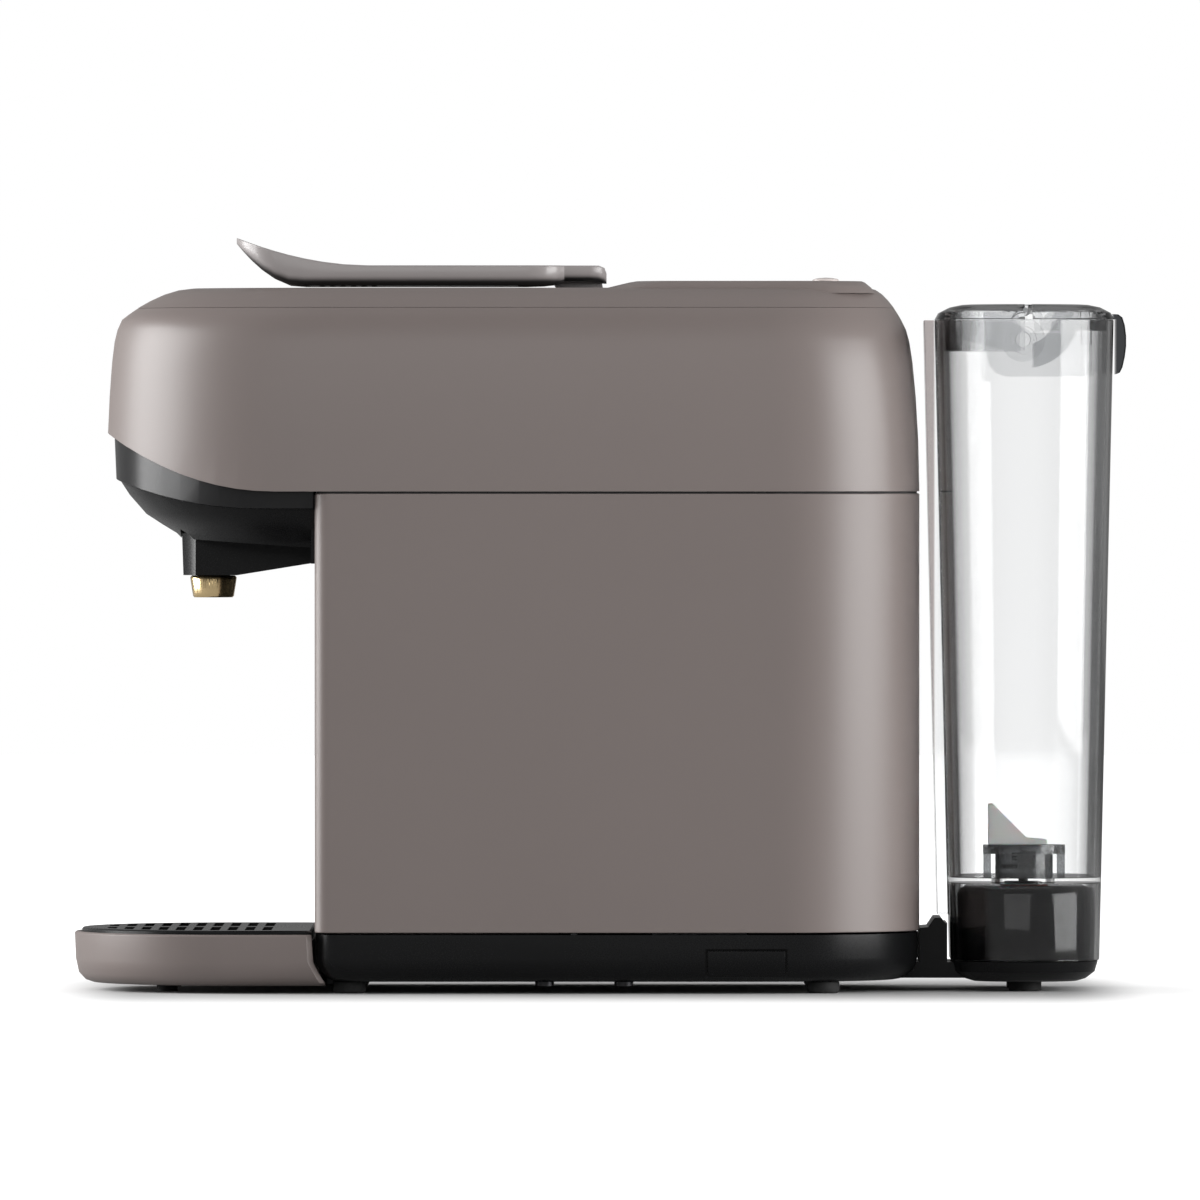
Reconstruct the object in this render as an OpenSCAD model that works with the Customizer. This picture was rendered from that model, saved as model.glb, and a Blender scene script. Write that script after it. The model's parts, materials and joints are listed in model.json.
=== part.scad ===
// Pod coffee machine: a slim column with an overhanging brewing head, a long opening lever on
// its crown, a drip tray in front and a removable clear water tank behind.
// Millimetres. +Z is up, -X is the machine's front, and the machine mirrors about Y = 0.
// The origin is on the floor, in the middle of the machine's footprint.

/* [Column] */
// Where the column's front face stands ahead of the origin
column_front = 108; // [100:1:116]
// Length of the column from its front face to its back
column_length = 229.6; // [220:1:240]
// Width of the column, the base and the head
body_width = 156; // [150:1:164]
// Height of the lower housing
housing_height = 166.2; // [160:0.5:175]
// Wall of the two housings
housing_wall = 2.4; // [2:0.1:3]
// Corner radius at the column's back
back_corner = 54; // [46:1:58]
// Corner radius at the column's front edges
front_corner = 6; // [4:0.5:9]
// Open joint between two housings
seam = 0.8; // [0.5:0.1:1.2]

/* [Base] */
// Height of a rubber foot
foot_height = 4.5; // [4:0.1:6]
// Diameter of a rubber foot
foot_diameter = 12.4; // [10:0.1:15]
// Height of the base pan
base_height = 17.9; // [16:0.1:20]
// Radius that turns the base pan under at its lower edge
base_round = 9; // [6:0.5:10]
// Wall of the base pan
base_wall = 2.6; // [2:0.1:3.2]
// Length of the clip-in cover in each side of the base
cover_length = 31; // [24:1:40]
// Height of the clip-in cover
cover_height = 12.6; // [10:0.1:13]

/* [Head] */
// How far the head reaches ahead of the column
head_overhang = 80.3; // [72:1:88]
// Height of the head's side, up to the crease round its crown
head_side = 65.4; // [60:0.5:72]
// Height of the crown above that crease
crown_height = 11.9; // [10:0.1:13]
// How far the crown runs in at the front before it is flat
crown_run = 27; // [22:1:30]
// How far the head's side leans in, up to the crease
head_lean = 3.8; // [2.5:0.1:5]
// Height of the raised control panel above the crown
panel_rise = 2.6; // [2:0.1:3]
// Length of the pod slot in the crown
slot_length = 34; // [32:0.5:37]
// Width of the pod slot in the crown
slot_width = 41; // [39:0.5:44]

/* [Lever] */
// Reach of the lever from its shaft to its tip
lever_reach = 134.4; // [126:0.5:142]
// Width of the lever
lever_width = 76; // [66:1:84]
// Height of the lever's flat top above the crown
lever_height = 8.6; // [8:0.1:10]
// How far the tip curls up above the flat top
lever_curl = 10.6; // [8:0.1:13]
// Thickness of the lever
lever_shell = 7.8; // [7:0.1:8]
// Diameter of the lever's shaft
shaft_diameter = 8; // [7:0.1:9]

/* [Gear train] */
// Tooth module of the sectors, pinions and racks
tooth_module = 1.5; // [1.4:0.05:1.6]
// Teeth that a sector would have as a full wheel
sector_teeth = 30; // [28:1:30]
// Teeth on each pinion
pinion_teeth = 12; // [12:1:13]
// Thickness of the toothed parts
gear_width = 6; // [4:0.5:7]
// Opening angle of the lever
lever_swing = 80; // [70:1:80]

/* [Spout] */
// Depth of the grey band under the head
band_height = 15; // [12:0.5:17]
// Diameter of the spout nozzle at its top
nozzle_top = 17.8; // [15:0.1:20]
// Diameter of the spout nozzle at its tip
nozzle_tip = 15.6; // [13:0.1:17]
// Height of the spout nozzle
nozzle_height = 8.4; // [6:0.1:10]
// Width of the spout housing
spout_width = 46; // [38:1:52]

/* [Drip tray] */
// How far the tray reaches ahead of the column
tray_reach = 92.6; // [84:1:100]
// Width of the tray
tray_width = 150; // [140:1:154]
// Height of the tray
tray_height = 19.4; // [18:0.1:22]
// Wall of the tray
tray_wall = 2.4; // [2:0.1:3]
// Thickness of the drip grid
grid_thickness = 4; // [3:0.1:4.5]
// Width of a slot in the grid
grid_slot = 3.6; // [3:0.1:5]
// Distance from one grid slot to the next
grid_pitch = 6.6; // [6.2:0.1:8]
// Height of the used pod container
container_height = 117; // [100:1:118]

/* [Tank] */
// Distance from the column's back to the middle of the tank
tank_offset = 40.3; // [39.5:0.1:44]
// Length of the tank's mouth, front to back
tank_length = 67.4; // [64:0.1:68]
// Width of the tank's mouth
tank_width = 112; // [100:1:124]
// How much narrower each side is at the bottom of the tank
tank_draft = 5.4; // [4:0.1:6]
// Height of the tank without its lid
tank_height = 243.6; // [230:1:250]
// Wall of the tank
tank_wall = 2; // [1.6:0.1:2.4]
// Height of the lid's dome
lid_height = 5.9; // [5:0.1:7]
// Height of the plinth that the tank drops over
plinth_height = 28; // [24:0.5:30]
// Thickness of the plate that carries the tank
saucer_height = 8; // [7:0.1:9]

/* [Controls] */
// Diameter of a push button
button_diameter = 10; // [8:0.1:12]
// Travel of a push button
button_travel = 1.2; // [0.8:0.1:1.5]
// Distance between the two buttons' centres
button_spacing = 30; // [24:1:36]

/* [Hidden] */

$fn = 48;
EPS = 0.01;
// Gap between two pieces that are fixed to each other
FIT = 0.2;
// Gap between two pieces that slide past each other
SLIDE = 0.4;
// Radial gap of a shaft in its bore
RUN = 0.05;

// Column and base
front_x = -column_front;
back_x = front_x + column_length;
half_width = body_width / 2;
base_z = foot_height;
base_top = base_z + base_height;
housing_z = base_top + seam;
housing_top = housing_z + housing_height;
floor_z = base_z + base_wall;

// Head
head_front = front_x - head_overhang;
head_z = housing_top + seam;
crease_z = head_z + head_side;
crown_z = crease_z + crown_height;
panel_z = crown_z + panel_rise;
crown_side_run = 20;
crown_back_run = 12;
crown_power = 1.8;
cover_seam_u = 0.22;
cover_wall = 2.4;
nose_depth = head_overhang - 0.3;
head_roll = 2.4;
NOSE_STEPS = 26;
CORNER_STEPS = 6;

// Lever shaft and gear train
shaft_x = front_x + 104;
shaft_z = crown_z - 9.3;
sector_radius = tooth_module * sector_teeth / 2;
pinion_radius = tooth_module * pinion_teeth / 2;
pinion_z = shaft_z - sector_radius - pinion_radius;
rack_z = pinion_z - pinion_radius;
carriage_travel = sector_radius * lever_swing * PI / 180;
gear_y = 20;
pressure_angle = 25;
backlash = 0.3;
pinion_shaft_r = 3;
frame_y = gear_y + gear_width + 4;
frame_plate = 3;
neck_half = gear_y + gear_width + 3;
tie_x = shaft_x + 40.6;

// Brewing chamber
pod_z = rack_z - 5.5;
cage_radius = 22;
chamber_x = front_x + 7;
cage_length = 34;
cage_back = chamber_x + 0.6 + cage_length;
slot_x = chamber_x + 1;
deck_z = housing_top - 5.2;
deck_plate = 3.4;
pipe_r = 2.4;
sleeve_x = cage_back + 7 + carriage_travel + 4;
shelf_z = housing_z + 104;
shelf_plate = 2.6;
block_z = shelf_z + shelf_plate;

// Tank
tank_x = back_x + tank_offset;
tank_z = foot_height + saucer_height - 0.7;
tank_top = tank_z + tank_height;
saucer_z = tank_z - saucer_height;
plinth_z = tank_z;
plinth_top = plinth_z + plinth_height;
tank_floor = plinth_top + 1.4;
tank_floor_plate = 2;
valve_bore = 7;
holder_half = 24;
channel_z = saucer_z + 4.6;
valve_rest_z = tank_floor + tank_floor_plate + 3;

// Tray
tray_front = front_x - tray_reach;
tray_z = 3;
tray_top = tray_z + tray_height;
tail_z = floor_z + 1;
tail_plate = 2.4;
tail_half = 56;
container_half = 58;
container_z = housing_z + 3.6;
container_back = front_x + 94;

// Spout
spout_x = front_x - 39.6;
band_inset = 2.7;
spout_floor = head_z - 32;
spout_front = spout_x - 12;

// Controls
button_x = back_x - 35.5;
window_x = back_x - 56.3;

// ---------------------------------------------------------------- shared shapes

// Turns a profile drawn in X and Z into a slab across Y
module across(width, y = 0) {
  translate([0, y + width / 2, 0])
    rotate([90, 0, 0])
      linear_extrude(height = width)
        children();
}

// A box from its two corners
module block(low, high) {
  translate(low)
    cube(high - low);
}

// A rod across Y
module rod_y(x, z, r, y0, y1) {
  translate([x, y0, z])
    rotate([-90, 0, 0])
      cylinder(r = r, h = y1 - y0);
}

// A rod along X
module rod_x(y, z, r, x0, x1) {
  translate([x0, y, z])
    rotate([0, 90, 0])
      cylinder(r = r, h = x1 - x0);
}

// Both mirror images of what it holds
module both_sides() {
  children();
  mirror([0, 1, 0])
    children();
}

// A point on the smooth curve through a route, at a share t of the stretch after point i
function on_curve(route, i, t) = let (
    last = len(route) - 1,
    a = route[max(0, i - 1)],
    b = route[i],
    c = route[min(last, i + 1)],
    d = route[min(last, i + 2)]
  ) 0.5 * (2 * b + (c - a) * t + (2 * a - 5 * b + 4 * c - d) * t * t
    + (3 * b - a - 3 * c + d) * t * t * t);

// A hose: eight-sided rings swept along the smooth curve through a route
module hose(route, r, steps = 5, sides = 8, lean_on = [0.35, 0.9, 0.25]) {
  line = [
    for (i = [0 : len(route) - 2], k = [0 : steps - 1]) on_curve(route, i, k / steps),
    route[len(route) - 1]
  ];
  n = len(line);
  rings = [
    for (k = [0 : n - 1])
      let (
        ahead = line[min(n - 1, k + 1)] - line[max(0, k - 1)],
        u = cross(ahead, lean_on) / norm(cross(ahead, lean_on)),
        v = cross(ahead, u) / norm(ahead)
      )
      [for (j = [0 : sides - 1])
        line[k] + r * (cos(360 * j / sides) * u - sin(360 * j / sides) * v)]
  ];
  loft(rings);
}

// Skins a stack of level rings that all have the same number of points, lowest ring first
module loft(rings) {
  n = len(rings[0]);
  last = len(rings) - 1;
  points = [for (ring = rings) each ring];
  sides = [
    for (k = [0 : last - 1], i = [0 : n - 1])
      let (a = k * n + i, b = k * n + (i + 1) % n)
        each [[a, b, b + n], [a, b + n, a + n]]
  ];
  floor_face = [[for (i = [n - 1 : -1 : 0]) i]];
  roof_face = [[for (i = [0 : n - 1]) last * n + i]];
  polyhedron(points = points, faces = concat(sides, floor_face, roof_face), convexity = 6);
}

// A head-shaped ring: a half ellipse for its nose and two round corners at its back
function head_ring(z, x0, x1, half, nose, corner) = concat(
  [for (i = [0 : NOSE_STEPS])
    let (t = 90 - 180 * i / NOSE_STEPS)
      [x0 + nose * (1 - cos(t)), -half * sin(t), z]],
  [for (i = [0 : CORNER_STEPS])
    let (t = 90 - 90 * i / CORNER_STEPS)
      [x1 - corner + corner * cos(t), half - corner + corner * sin(t), z]],
  [for (i = [0 : CORNER_STEPS])
    let (t = -90 * i / CORNER_STEPS)
      [x1 - corner + corner * cos(t), corner - half + corner * sin(t), z]]
);

// How far the head's side has leaned in at a share t of its height
function lean(t, share) = head_lean * share * pow(t, 2) + head_roll * pow(t, 14);

// A ring of the head's side at a share t of its height, set in by a wall
function side_ring(t, wall = 0) = head_ring(
  head_z + head_side * t,
  head_front + lean(t, 0.9) + wall,
  back_x - lean(t, 1.2) - wall,
  half_width - lean(t, 1) - wall,
  nose_depth - wall,
  back_corner - wall);

// Height of the crown at a share u of its run in from the crease
function crown_height_at(u) = crease_z + crown_height * (1 - pow(1 - u, crown_power));

// A ring of the crown at a share u of its run, set in by a wall and moved up or down
function crown_ring(u, wall = 0, lift = 0) = head_ring(
  crown_height_at(u) + lift,
  head_front + lean(1, 0.9) + crown_run * u + wall,
  back_x - lean(1, 1.2) - crown_back_run * u - wall,
  half_width - lean(1, 1) - crown_side_run * u - wall,
  nose_depth - 12 * u - wall,
  back_corner - 20 * u - wall);

// A ring with two straight sides and round ends towards Y
function oval_ring(x, z, half_x, half_y) = concat(
  [for (i = [0 : 20])
    let (t = 180 - 9 * i)
      [x + half_x * cos(t), half_y - half_x + half_x * sin(t), z]],
  [for (i = [0 : 20])
    let (t = -9 * i)
      [x + half_x * cos(t), half_x - half_y + half_x * sin(t), z]]
);

// Half length of the tank's outside at a height
function tank_half(z) = tank_length / 2 - tank_draft * (tank_top - z) / tank_height;

// The tank's ring at a height, set in by a wall
function tank_ring(z, wall) = oval_ring(tank_x, z, tank_half(z) - wall,
  tank_half(z) - wall + (tank_width - tank_length) / 2);

// The column's plan, set in by a wall; its arcs are true arcs
module column_plan(wall = 0, front_wall = 0) {
  x0 = front_x + front_wall;
  x1 = back_x - wall;
  half = half_width - wall;
  rf = front_corner - min(front_wall, front_corner - 1);
  rb = back_corner - wall;
  translate([x0, rf - half])
    square([rf + 1, 2 * (half - rf)]);
  translate([x0 + rf, -half])
    square([x1 - rb - x0 - rf, 2 * half]);
  translate([x1 - rb - 1, rb - half])
    square([rb + 1, 2 * (half - rb)]);
  for (side = [-1, 1]) {
    translate([x0 + rf, side * (half - rf)])
      circle(r = rf);
    translate([x1 - rb, side * (half - rb)])
      circle(r = rb);
  }
}

// Involute of a circle: the point reached after unrolling by an angle in degrees
function involute(base, a) = base * [cos(a) + a * PI / 180 * sin(a), sin(a) - a * PI / 180 * cos(a)];

// Unrolling angle at which the involute of a base circle reaches a radius
function unroll(base, r) = sqrt(max(0, pow(r / base, 2) - 1)) * 180 / PI;

// One tooth of a gear, pointing along X in its own plane
module tooth(teeth) {
  pitch_r = tooth_module * teeth / 2;
  base = pitch_r * cos(pressure_angle);
  tip_r = pitch_r + 0.9 * tooth_module;
  root_r = pitch_r - 1.2 * tooth_module;
  at_pitch = involute(base, unroll(base, pitch_r));
  flank_angle = atan2(at_pitch[1], at_pitch[0]);
  half_angle = 90 / teeth - backlash * 90 / (PI * pitch_r);
  start = max(base, root_r);
  upper = [
    for (k = [0 : 4])
      let (
        r = start + (tip_r - start) * k / 4,
        p = involute(base, unroll(base, r)),
        a = half_angle + flank_angle - atan2(p[1], p[0])
      )
      r * [cos(a), sin(a)]
  ];
  foot_angle = atan2(upper[0][1], upper[0][0]);
  foot = (root_r - 0.6) * [cos(foot_angle), sin(foot_angle)];
  lower = [for (k = [4 : -1 : 0]) [upper[k][0], -upper[k][1]]];
  polygon(concat([foot], upper, lower, [[foot[0], -foot[1]]]));
}

// ---------------------------------------------------------------- column and base

module lower_housing() {
  opening_half = container_half + 3;
  color("#7d7370")
    difference() {
      translate([0, 0, housing_z])
        linear_extrude(height = housing_height)
          column_plan();
      translate([0, 0, housing_z - 1])
        linear_extrude(height = housing_height + 2)
          column_plan(housing_wall, housing_wall + 1);
      block([front_x - 1, -opening_half, housing_z - 1],
        [front_x + 12, opening_half, housing_top + 1]);
    }
}

// Rings of the base pan, turned under at its lower edge, set in by a wall
function base_ring(z, inset, wall) = let (
    x0 = front_x + 0.5 + inset + wall,
    x1 = back_x - 0.6 - inset - wall,
    half = half_width - 0.5 - inset - wall,
    rf = front_corner + 4,
    rb = back_corner - inset - wall
  ) concat(
    [for (i = [0 : 4]) let (t = 270 - 22.5 * i) [x0 + rf + rf * cos(t), rf - half + rf * sin(t), z]],
    [for (i = [0 : 4]) let (t = 180 - 22.5 * i) [x0 + rf + rf * cos(t), half - rf + rf * sin(t), z]],
    [for (i = [0 : 8]) let (t = 90 - 11.25 * i) [x1 - rb + rb * cos(t), half - rb + rb * sin(t), z]],
    [for (i = [0 : 8]) let (t = -11.25 * i) [x1 - rb + rb * cos(t), rb - half + rb * sin(t), z]]
  );

module base_solid(wall, lift) {
  steps = 5;
  loft(concat(
    [for (k = [0 : steps])
      let (t = 90 * k / steps)
        base_ring(base_z + lift + base_round * (1 - cos(t)), base_round * (1 - sin(t)), wall)],
    [base_ring(base_top + (lift > 0 ? 1 : 0), 0, wall)]));
}

cover_x = back_x - 81.7;
cover_seat_y = half_width - 4.2;

module base_pan() {
  color("#1b1b1c")
    difference() {
      base_solid(0, 0);
      base_solid(base_wall, base_wall);
      block([front_x - 1, -container_half - 3, floor_z],
        [front_x + 16, container_half + 3, base_top + 1]);
      block([back_x - 30, -holder_half - FIT, base_z - 1],
        [back_x + 1, holder_half + FIT, base_z + 8]);
      both_sides()
        block([cover_x, cover_seat_y, base_z - 1],
          [cover_x + cover_length, half_width + 1, base_z + cover_height]);
      rod_x(inlet_y, inlet_z, inlet_r, back_x - 12, back_x + 2);
      for (x = foot_xs, side = [-1, 1])
        translate([x, side * foot_y, base_z - 1])
          cylinder(r = foot_diameter / 2 - 2.4, h = base_wall + 2);
      for (x = screw_xs, side = [-1, 1])
        translate([x, side * screw_y, base_z - 1])
          cylinder(r = 2.2, h = base_wall + 2);
    }
  color("#1b1b1c")
    both_sides()
      block([cover_x - 2, cover_seat_y - 2, floor_z - EPS],
        [cover_x + cover_length + 2, cover_seat_y, base_top - 2]);
}

foot_xs = [front_x + 13, back_x - 37];
foot_y = half_width - 20;
screw_xs = [front_x + 87, front_x + 117];
screw_y = half_width - 12;
inlet_y = 30;
inlet_z = base_z + 11;
inlet_r = 5;

module side_covers() {
  gap = seam;
  color("#1d1d1e")
    both_sides()
      intersection() {
        base_solid(0, 0);
        block([cover_x + gap, cover_seat_y + FIT, base_z],
          [cover_x + cover_length - gap, half_width, base_z + cover_height - gap]);
      }
}

module feet() {
  color("#262626")
    for (x = foot_xs, side = [-1, 1])
      translate([x, side * foot_y, 0]) {
        cylinder(r1 = foot_diameter / 2 - 0.6, r2 = foot_diameter / 2, h = 1);
        translate([0, 0, 1])
          cylinder(r = foot_diameter / 2, h = foot_height - 1);
        cylinder(r = foot_diameter / 2 - 2.5, h = foot_height + base_wall);
      }
  color("#262626")
    for (side = [-1, 1])
      translate([tank_x, side * 24, 0])
        cylinder(r = foot_diameter / 2, h = saucer_z);
}

module base_screws() {
  color("silver")
    for (x = screw_xs, side = [-1, 1])
      translate([x, side * screw_y, base_z - 1.6]) {
        difference() {
          cylinder(r = 3.6, h = 1.6);
          translate([0, 0, -1])
            cylinder(r = 1.6, h = 2, $fn = 6);
        }
        translate([0, 0, 1.6 - EPS])
          cylinder(r = 2, h = 11);
      }
}

module cord_inlet() {
  color("#222222")
    difference() {
      union() {
        rod_x(inlet_y, inlet_z, inlet_r - FIT / 2, back_x - 12, back_x - 0.6);
        rod_x(inlet_y, inlet_z, inlet_r + 1.4, back_x - 14, back_x - 12 + EPS);
      }
      rod_x(inlet_y, inlet_z, 3.4, back_x - 15, back_x + 1);
    }
}

// ---------------------------------------------------------------- head

// Lower edge of the head, from its lip at the front back to the straight seam
lip_z = head_z + 22.4;
band_foot = 6.5;
edge_length = 65;
function edge_z(x) = let (t = min(1, max(0, (x - head_front) / edge_length)))
  head_z + (lip_z - head_z) * pow(1 - t, 2.05);

// The side of everything that lies below the head's lower edge, moved down by a drop
module below_edge(drop) {
  steps = 9;
  polygon(concat(
    [[head_front - 20, head_z - 60], [head_front - 20, lip_z - drop]],
    [for (k = [0 : steps])
      let (x = head_front + edge_length * k / steps)
        [x, edge_z(x) - drop]],
    [[back_x + 20, head_z - drop], [back_x + 20, head_z - 60]]));
}

// A ring of the chin: a half ellipse closed just ahead of the column, where it may hang lower
function chin_ring(z, inset, back = front_x - 0.4, fall = 0) = let (
    x0 = head_front + band_inset + inset,
    half = half_width - band_inset - inset * 0.8,
    nose = front_x - 0.9 - x0
  ) concat(
    [for (i = [0 : NOSE_STEPS])
      let (t = 90 - 180 * i / NOSE_STEPS)
        [x0 + nose * (1 - cos(t)), -half * sin(t), z - fall * (1 - cos(t))]],
    [[back, half, z - fall], [back, -half, z - fall]]
  );

// Side of the band between the head's edge and the bowl
module band_side() {
  steps = 9;
  end = head_front + edge_length;
  xs = [for (k = [0 : steps]) head_front + edge_length * k / steps];
  polygon(concat(
    [for (x = xs) [x, edge_z(x) + 0.6]],
    [[front_x, head_z + 0.6], [front_x, head_z - band_foot]],
    [for (k = [steps : -1 : 0]) [xs[k], band_foot_z(xs[k])]]));
}

// Lower edge of the band: it stays deep at the nose and narrows towards the column
function band_foot_z(x) = let (t = min(1, max(0, (x - head_front) / edge_length)))
  head_z - band_foot + (lip_z - band_height - head_z + band_foot - 1.3) * pow(1 - t, 2.4);

module upper_housing() {
  color("#7d7370")
    difference() {
      loft(concat(
        [for (t = [0, 0.3, 0.55, 0.75, 0.87, 0.94, 1]) side_ring(t)],
        [crown_ring(cover_seam_u / 2), crown_ring(cover_seam_u)]));
      loft(concat(
        [head_ring(head_z - 1, head_front + housing_wall, back_x - housing_wall,
          half_width - housing_wall, nose_depth - housing_wall,
          back_corner - housing_wall)],
        [for (t = [0.4, 0.8, 1]) side_ring(t, housing_wall)],
        [crown_ring(cover_seam_u, housing_wall + 0.8, 1)]));
      difference() {
        across(body_width + 2)
          below_edge(0);
        block([head_front + edge_length, -body_width, head_z - 61],
          [back_x + 30, body_width, head_z + 1]);
      }
    }
}

// Outline of the well in the crown that the lever's arms swing in
well_front = shaft_x - 16;
well_back = shaft_x + 20;
well_half = neck_half + 0.8;

module top_cover() {
  top_levels = [cover_seam_u, 0.4, 0.6, 0.8, 1];
  color("#7d7370")
    difference() {
      union() {
        loft([for (u = top_levels) crown_ring(u, 0, u == cover_seam_u ? 0.3 : 0)]);
        loft([
          head_ring(crown_z - 2, shaft_x + 2, back_x - 17, 54, 16, 24),
          head_ring(crown_z + 0.1, shaft_x + 4, back_x - 18.4, 53, 16, 24),
          head_ring(panel_z - 0.5, shaft_x + 12, back_x - 20.8, 51, 16, 24),
          head_ring(panel_z, shaft_x + 15, back_x - 22, 50, 16, 24)]);
      }
      loft([
        crown_ring(cover_seam_u, cover_wall + 0.4, -1),
        crown_ring(0.5, cover_wall, -1.8),
        crown_ring(1, 4, -cover_wall)]);
      block([slot_x, -slot_width / 2, crown_z - 10],
        [slot_x + slot_length, slot_width / 2, crown_z + 5]);
      block([well_front, -well_half, crown_z - 10],
        [well_back, well_half, crown_z + 5]);
      for (side = [-1, 1])
        translate([button_x, side * button_spacing / 2, crown_z - 8])
          cylinder(r = button_diameter / 2 + 0.25, h = 20);
      block([window_x - 7, -18 - FIT, panel_z - 1.2],
        [window_x + 7, 18 + FIT, panel_z + 1]);
    }
}

module chin_band() {
  low = head_z - 12;
  high = lip_z + 4;
  color("#4a4a4b")
    intersection() {
      difference() {
        loft([chin_ring(low, 1.6), chin_ring(high, 0)]);
        loft([chin_ring(low - 1, 3.6, front_x + 5), chin_ring(high + 1, 2, front_x + 5)]);
      }
      across(body_width)
        band_side();
    }
}

module chin_bottom() {
  high = lip_z - band_height + 4;
  color("#19191a")
    difference() {
      loft([
        chin_ring(head_z - 18, 26, fall = 3.4),
        chin_ring(head_z - 16, 24, fall = 3.2),
        chin_ring(head_z - 12.6, 18.4, fall = 2),
        chin_ring(head_z - 8.7, 12.4),
        chin_ring(head_z - 1.4, 6),
        chin_ring(head_z + 5.4, 1.6),
        chin_ring(high, 1.2)]);
      loft([
        chin_ring(head_z - 15.8, 26, front_x + 5, 3.2),
        chin_ring(head_z - 8, 15, front_x + 5),
        chin_ring(head_z - 1.4, 8.4, front_x + 5),
        chin_ring(high + 1, 3.6, front_x + 5)]);
      // cut along the band's lower edge
      across(body_width)
        polygon(concat(
          [[head_front - 5, high + 9], [head_front - 5, band_foot_z(head_front) - FIT]],
          [for (k = [0 : 9])
            let (x = head_front + edge_length * k / 9)
              [x, band_foot_z(x) - FIT]],
          [[front_x + 9, head_z - band_foot - FIT], [front_x + 9, high + 9]]));
      block([spout_front - FIT, -spout_width / 2 - FIT, head_z - 30],
        [front_x + 1, spout_width / 2 + FIT, head_z - 8]);
      block([front_x - 1.6 - FIT, -back_panel_half - FIT, head_z - 30],
        [front_x + 1, back_panel_half + FIT, head_z + 6]);
    }
}

back_panel_half = container_half + 2.6;

// Side of the spout housing
module spout_side(wall = 0) {
  polygon([
    [spout_front + wall, head_z - 9],
    [spout_front + 0.8 + wall, spout_floor + wall],
    [spout_x + 9.4, spout_floor + wall],
    [front_x - 1.6 - wall, spout_floor + 4.6 + wall],
    [front_x - 1.6 - wall, head_z - 9]]);
}

// Plan of the spout housing, with a facet cut off each front corner
module spout_plan(wall = 0) {
  facet = [5.6, 8.6];
  half = spout_width / 2;
  polygon([
    [spout_front + wall, facet[1] - half + 0.3 * wall],
    [spout_front + facet[0] + 0.54 * wall, wall - half],
    [front_x + 4, wall - half],
    [front_x + 4, half - wall],
    [spout_front + facet[0] + 0.54 * wall, half - wall],
    [spout_front + wall, half - facet[1] - 0.3 * wall]]);
}

// Body of the spout housing, set in by a wall
module spout_block(wall = 0) {
  intersection() {
    across(spout_width)
      spout_side(wall);
    translate([0, 0, spout_floor - 1])
      linear_extrude(height = 40)
        spout_plan(wall);
  }
}

module spout_housing() {
  wall = 2;
  proud_z = spout_floor + 4.6;
  color("#1a1a1b")
    difference() {
      union() {
        spout_block();
        // panel behind it: proud of the column above, set back below
        block([front_x - 1.6 - EPS, -back_panel_half, proud_z],
          [front_x + 1.4, back_panel_half, deck_z + deck_plate]);
        block([front_x + FIT, -back_panel_half, panel_top + seam],
          [front_x + 2, back_panel_half, proud_z + EPS]);
      }
      intersection() {
        spout_block(wall);
        block([spout_front, -spout_width, spout_floor],
          [front_x - 3.4, spout_width, head_z]);
      }
      translate([spout_x, 0, spout_floor - 2])
        cylinder(r = 6.4, h = 8);
      block([front_x - 30, -8, head_z - 8.8],
        [front_x + 3, 8, head_z + 2]);
    }
}

module spout_nozzle() {
  color("#c9a86a")
    translate([spout_x, 0, spout_floor - nozzle_height - FIT])
      rotate_extrude()
        polygon([
          [nozzle_tip / 2 - 1.6, 0.4],
          [nozzle_tip / 2 - 0.5, 0],
          [nozzle_tip / 2, 0.6],
          [nozzle_top / 2, nozzle_height - 0.8],
          [nozzle_top / 2 - 0.6, nozzle_height],
          [6.2, nozzle_height],
          [6.2, nozzle_height + 4.2],
          [5, nozzle_height + 4.2],
          [5, 4],
          [nozzle_tip / 2 - 2.4, 3]]);
}

module coffee_duct() {
  bend = 12;
  low = spout_floor + 4.6;
  level = pod_z - 15;
  color("#3a3a3c") {
    translate([spout_x, 0, low])
      cylinder(r = 4.6, h = level - bend - low + EPS);
    translate([spout_x + bend, 0, level - bend])
      rotate([90, 0, 0])
        rotate_extrude(angle = 90, start = 90)
          translate([bend, 0])
            circle(r = 4.6);
    rod_x(0, level, 4.6, spout_x + bend - EPS, chamber_x - 4.4);
  }
}

// ---------------------------------------------------------------- inside the column

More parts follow.
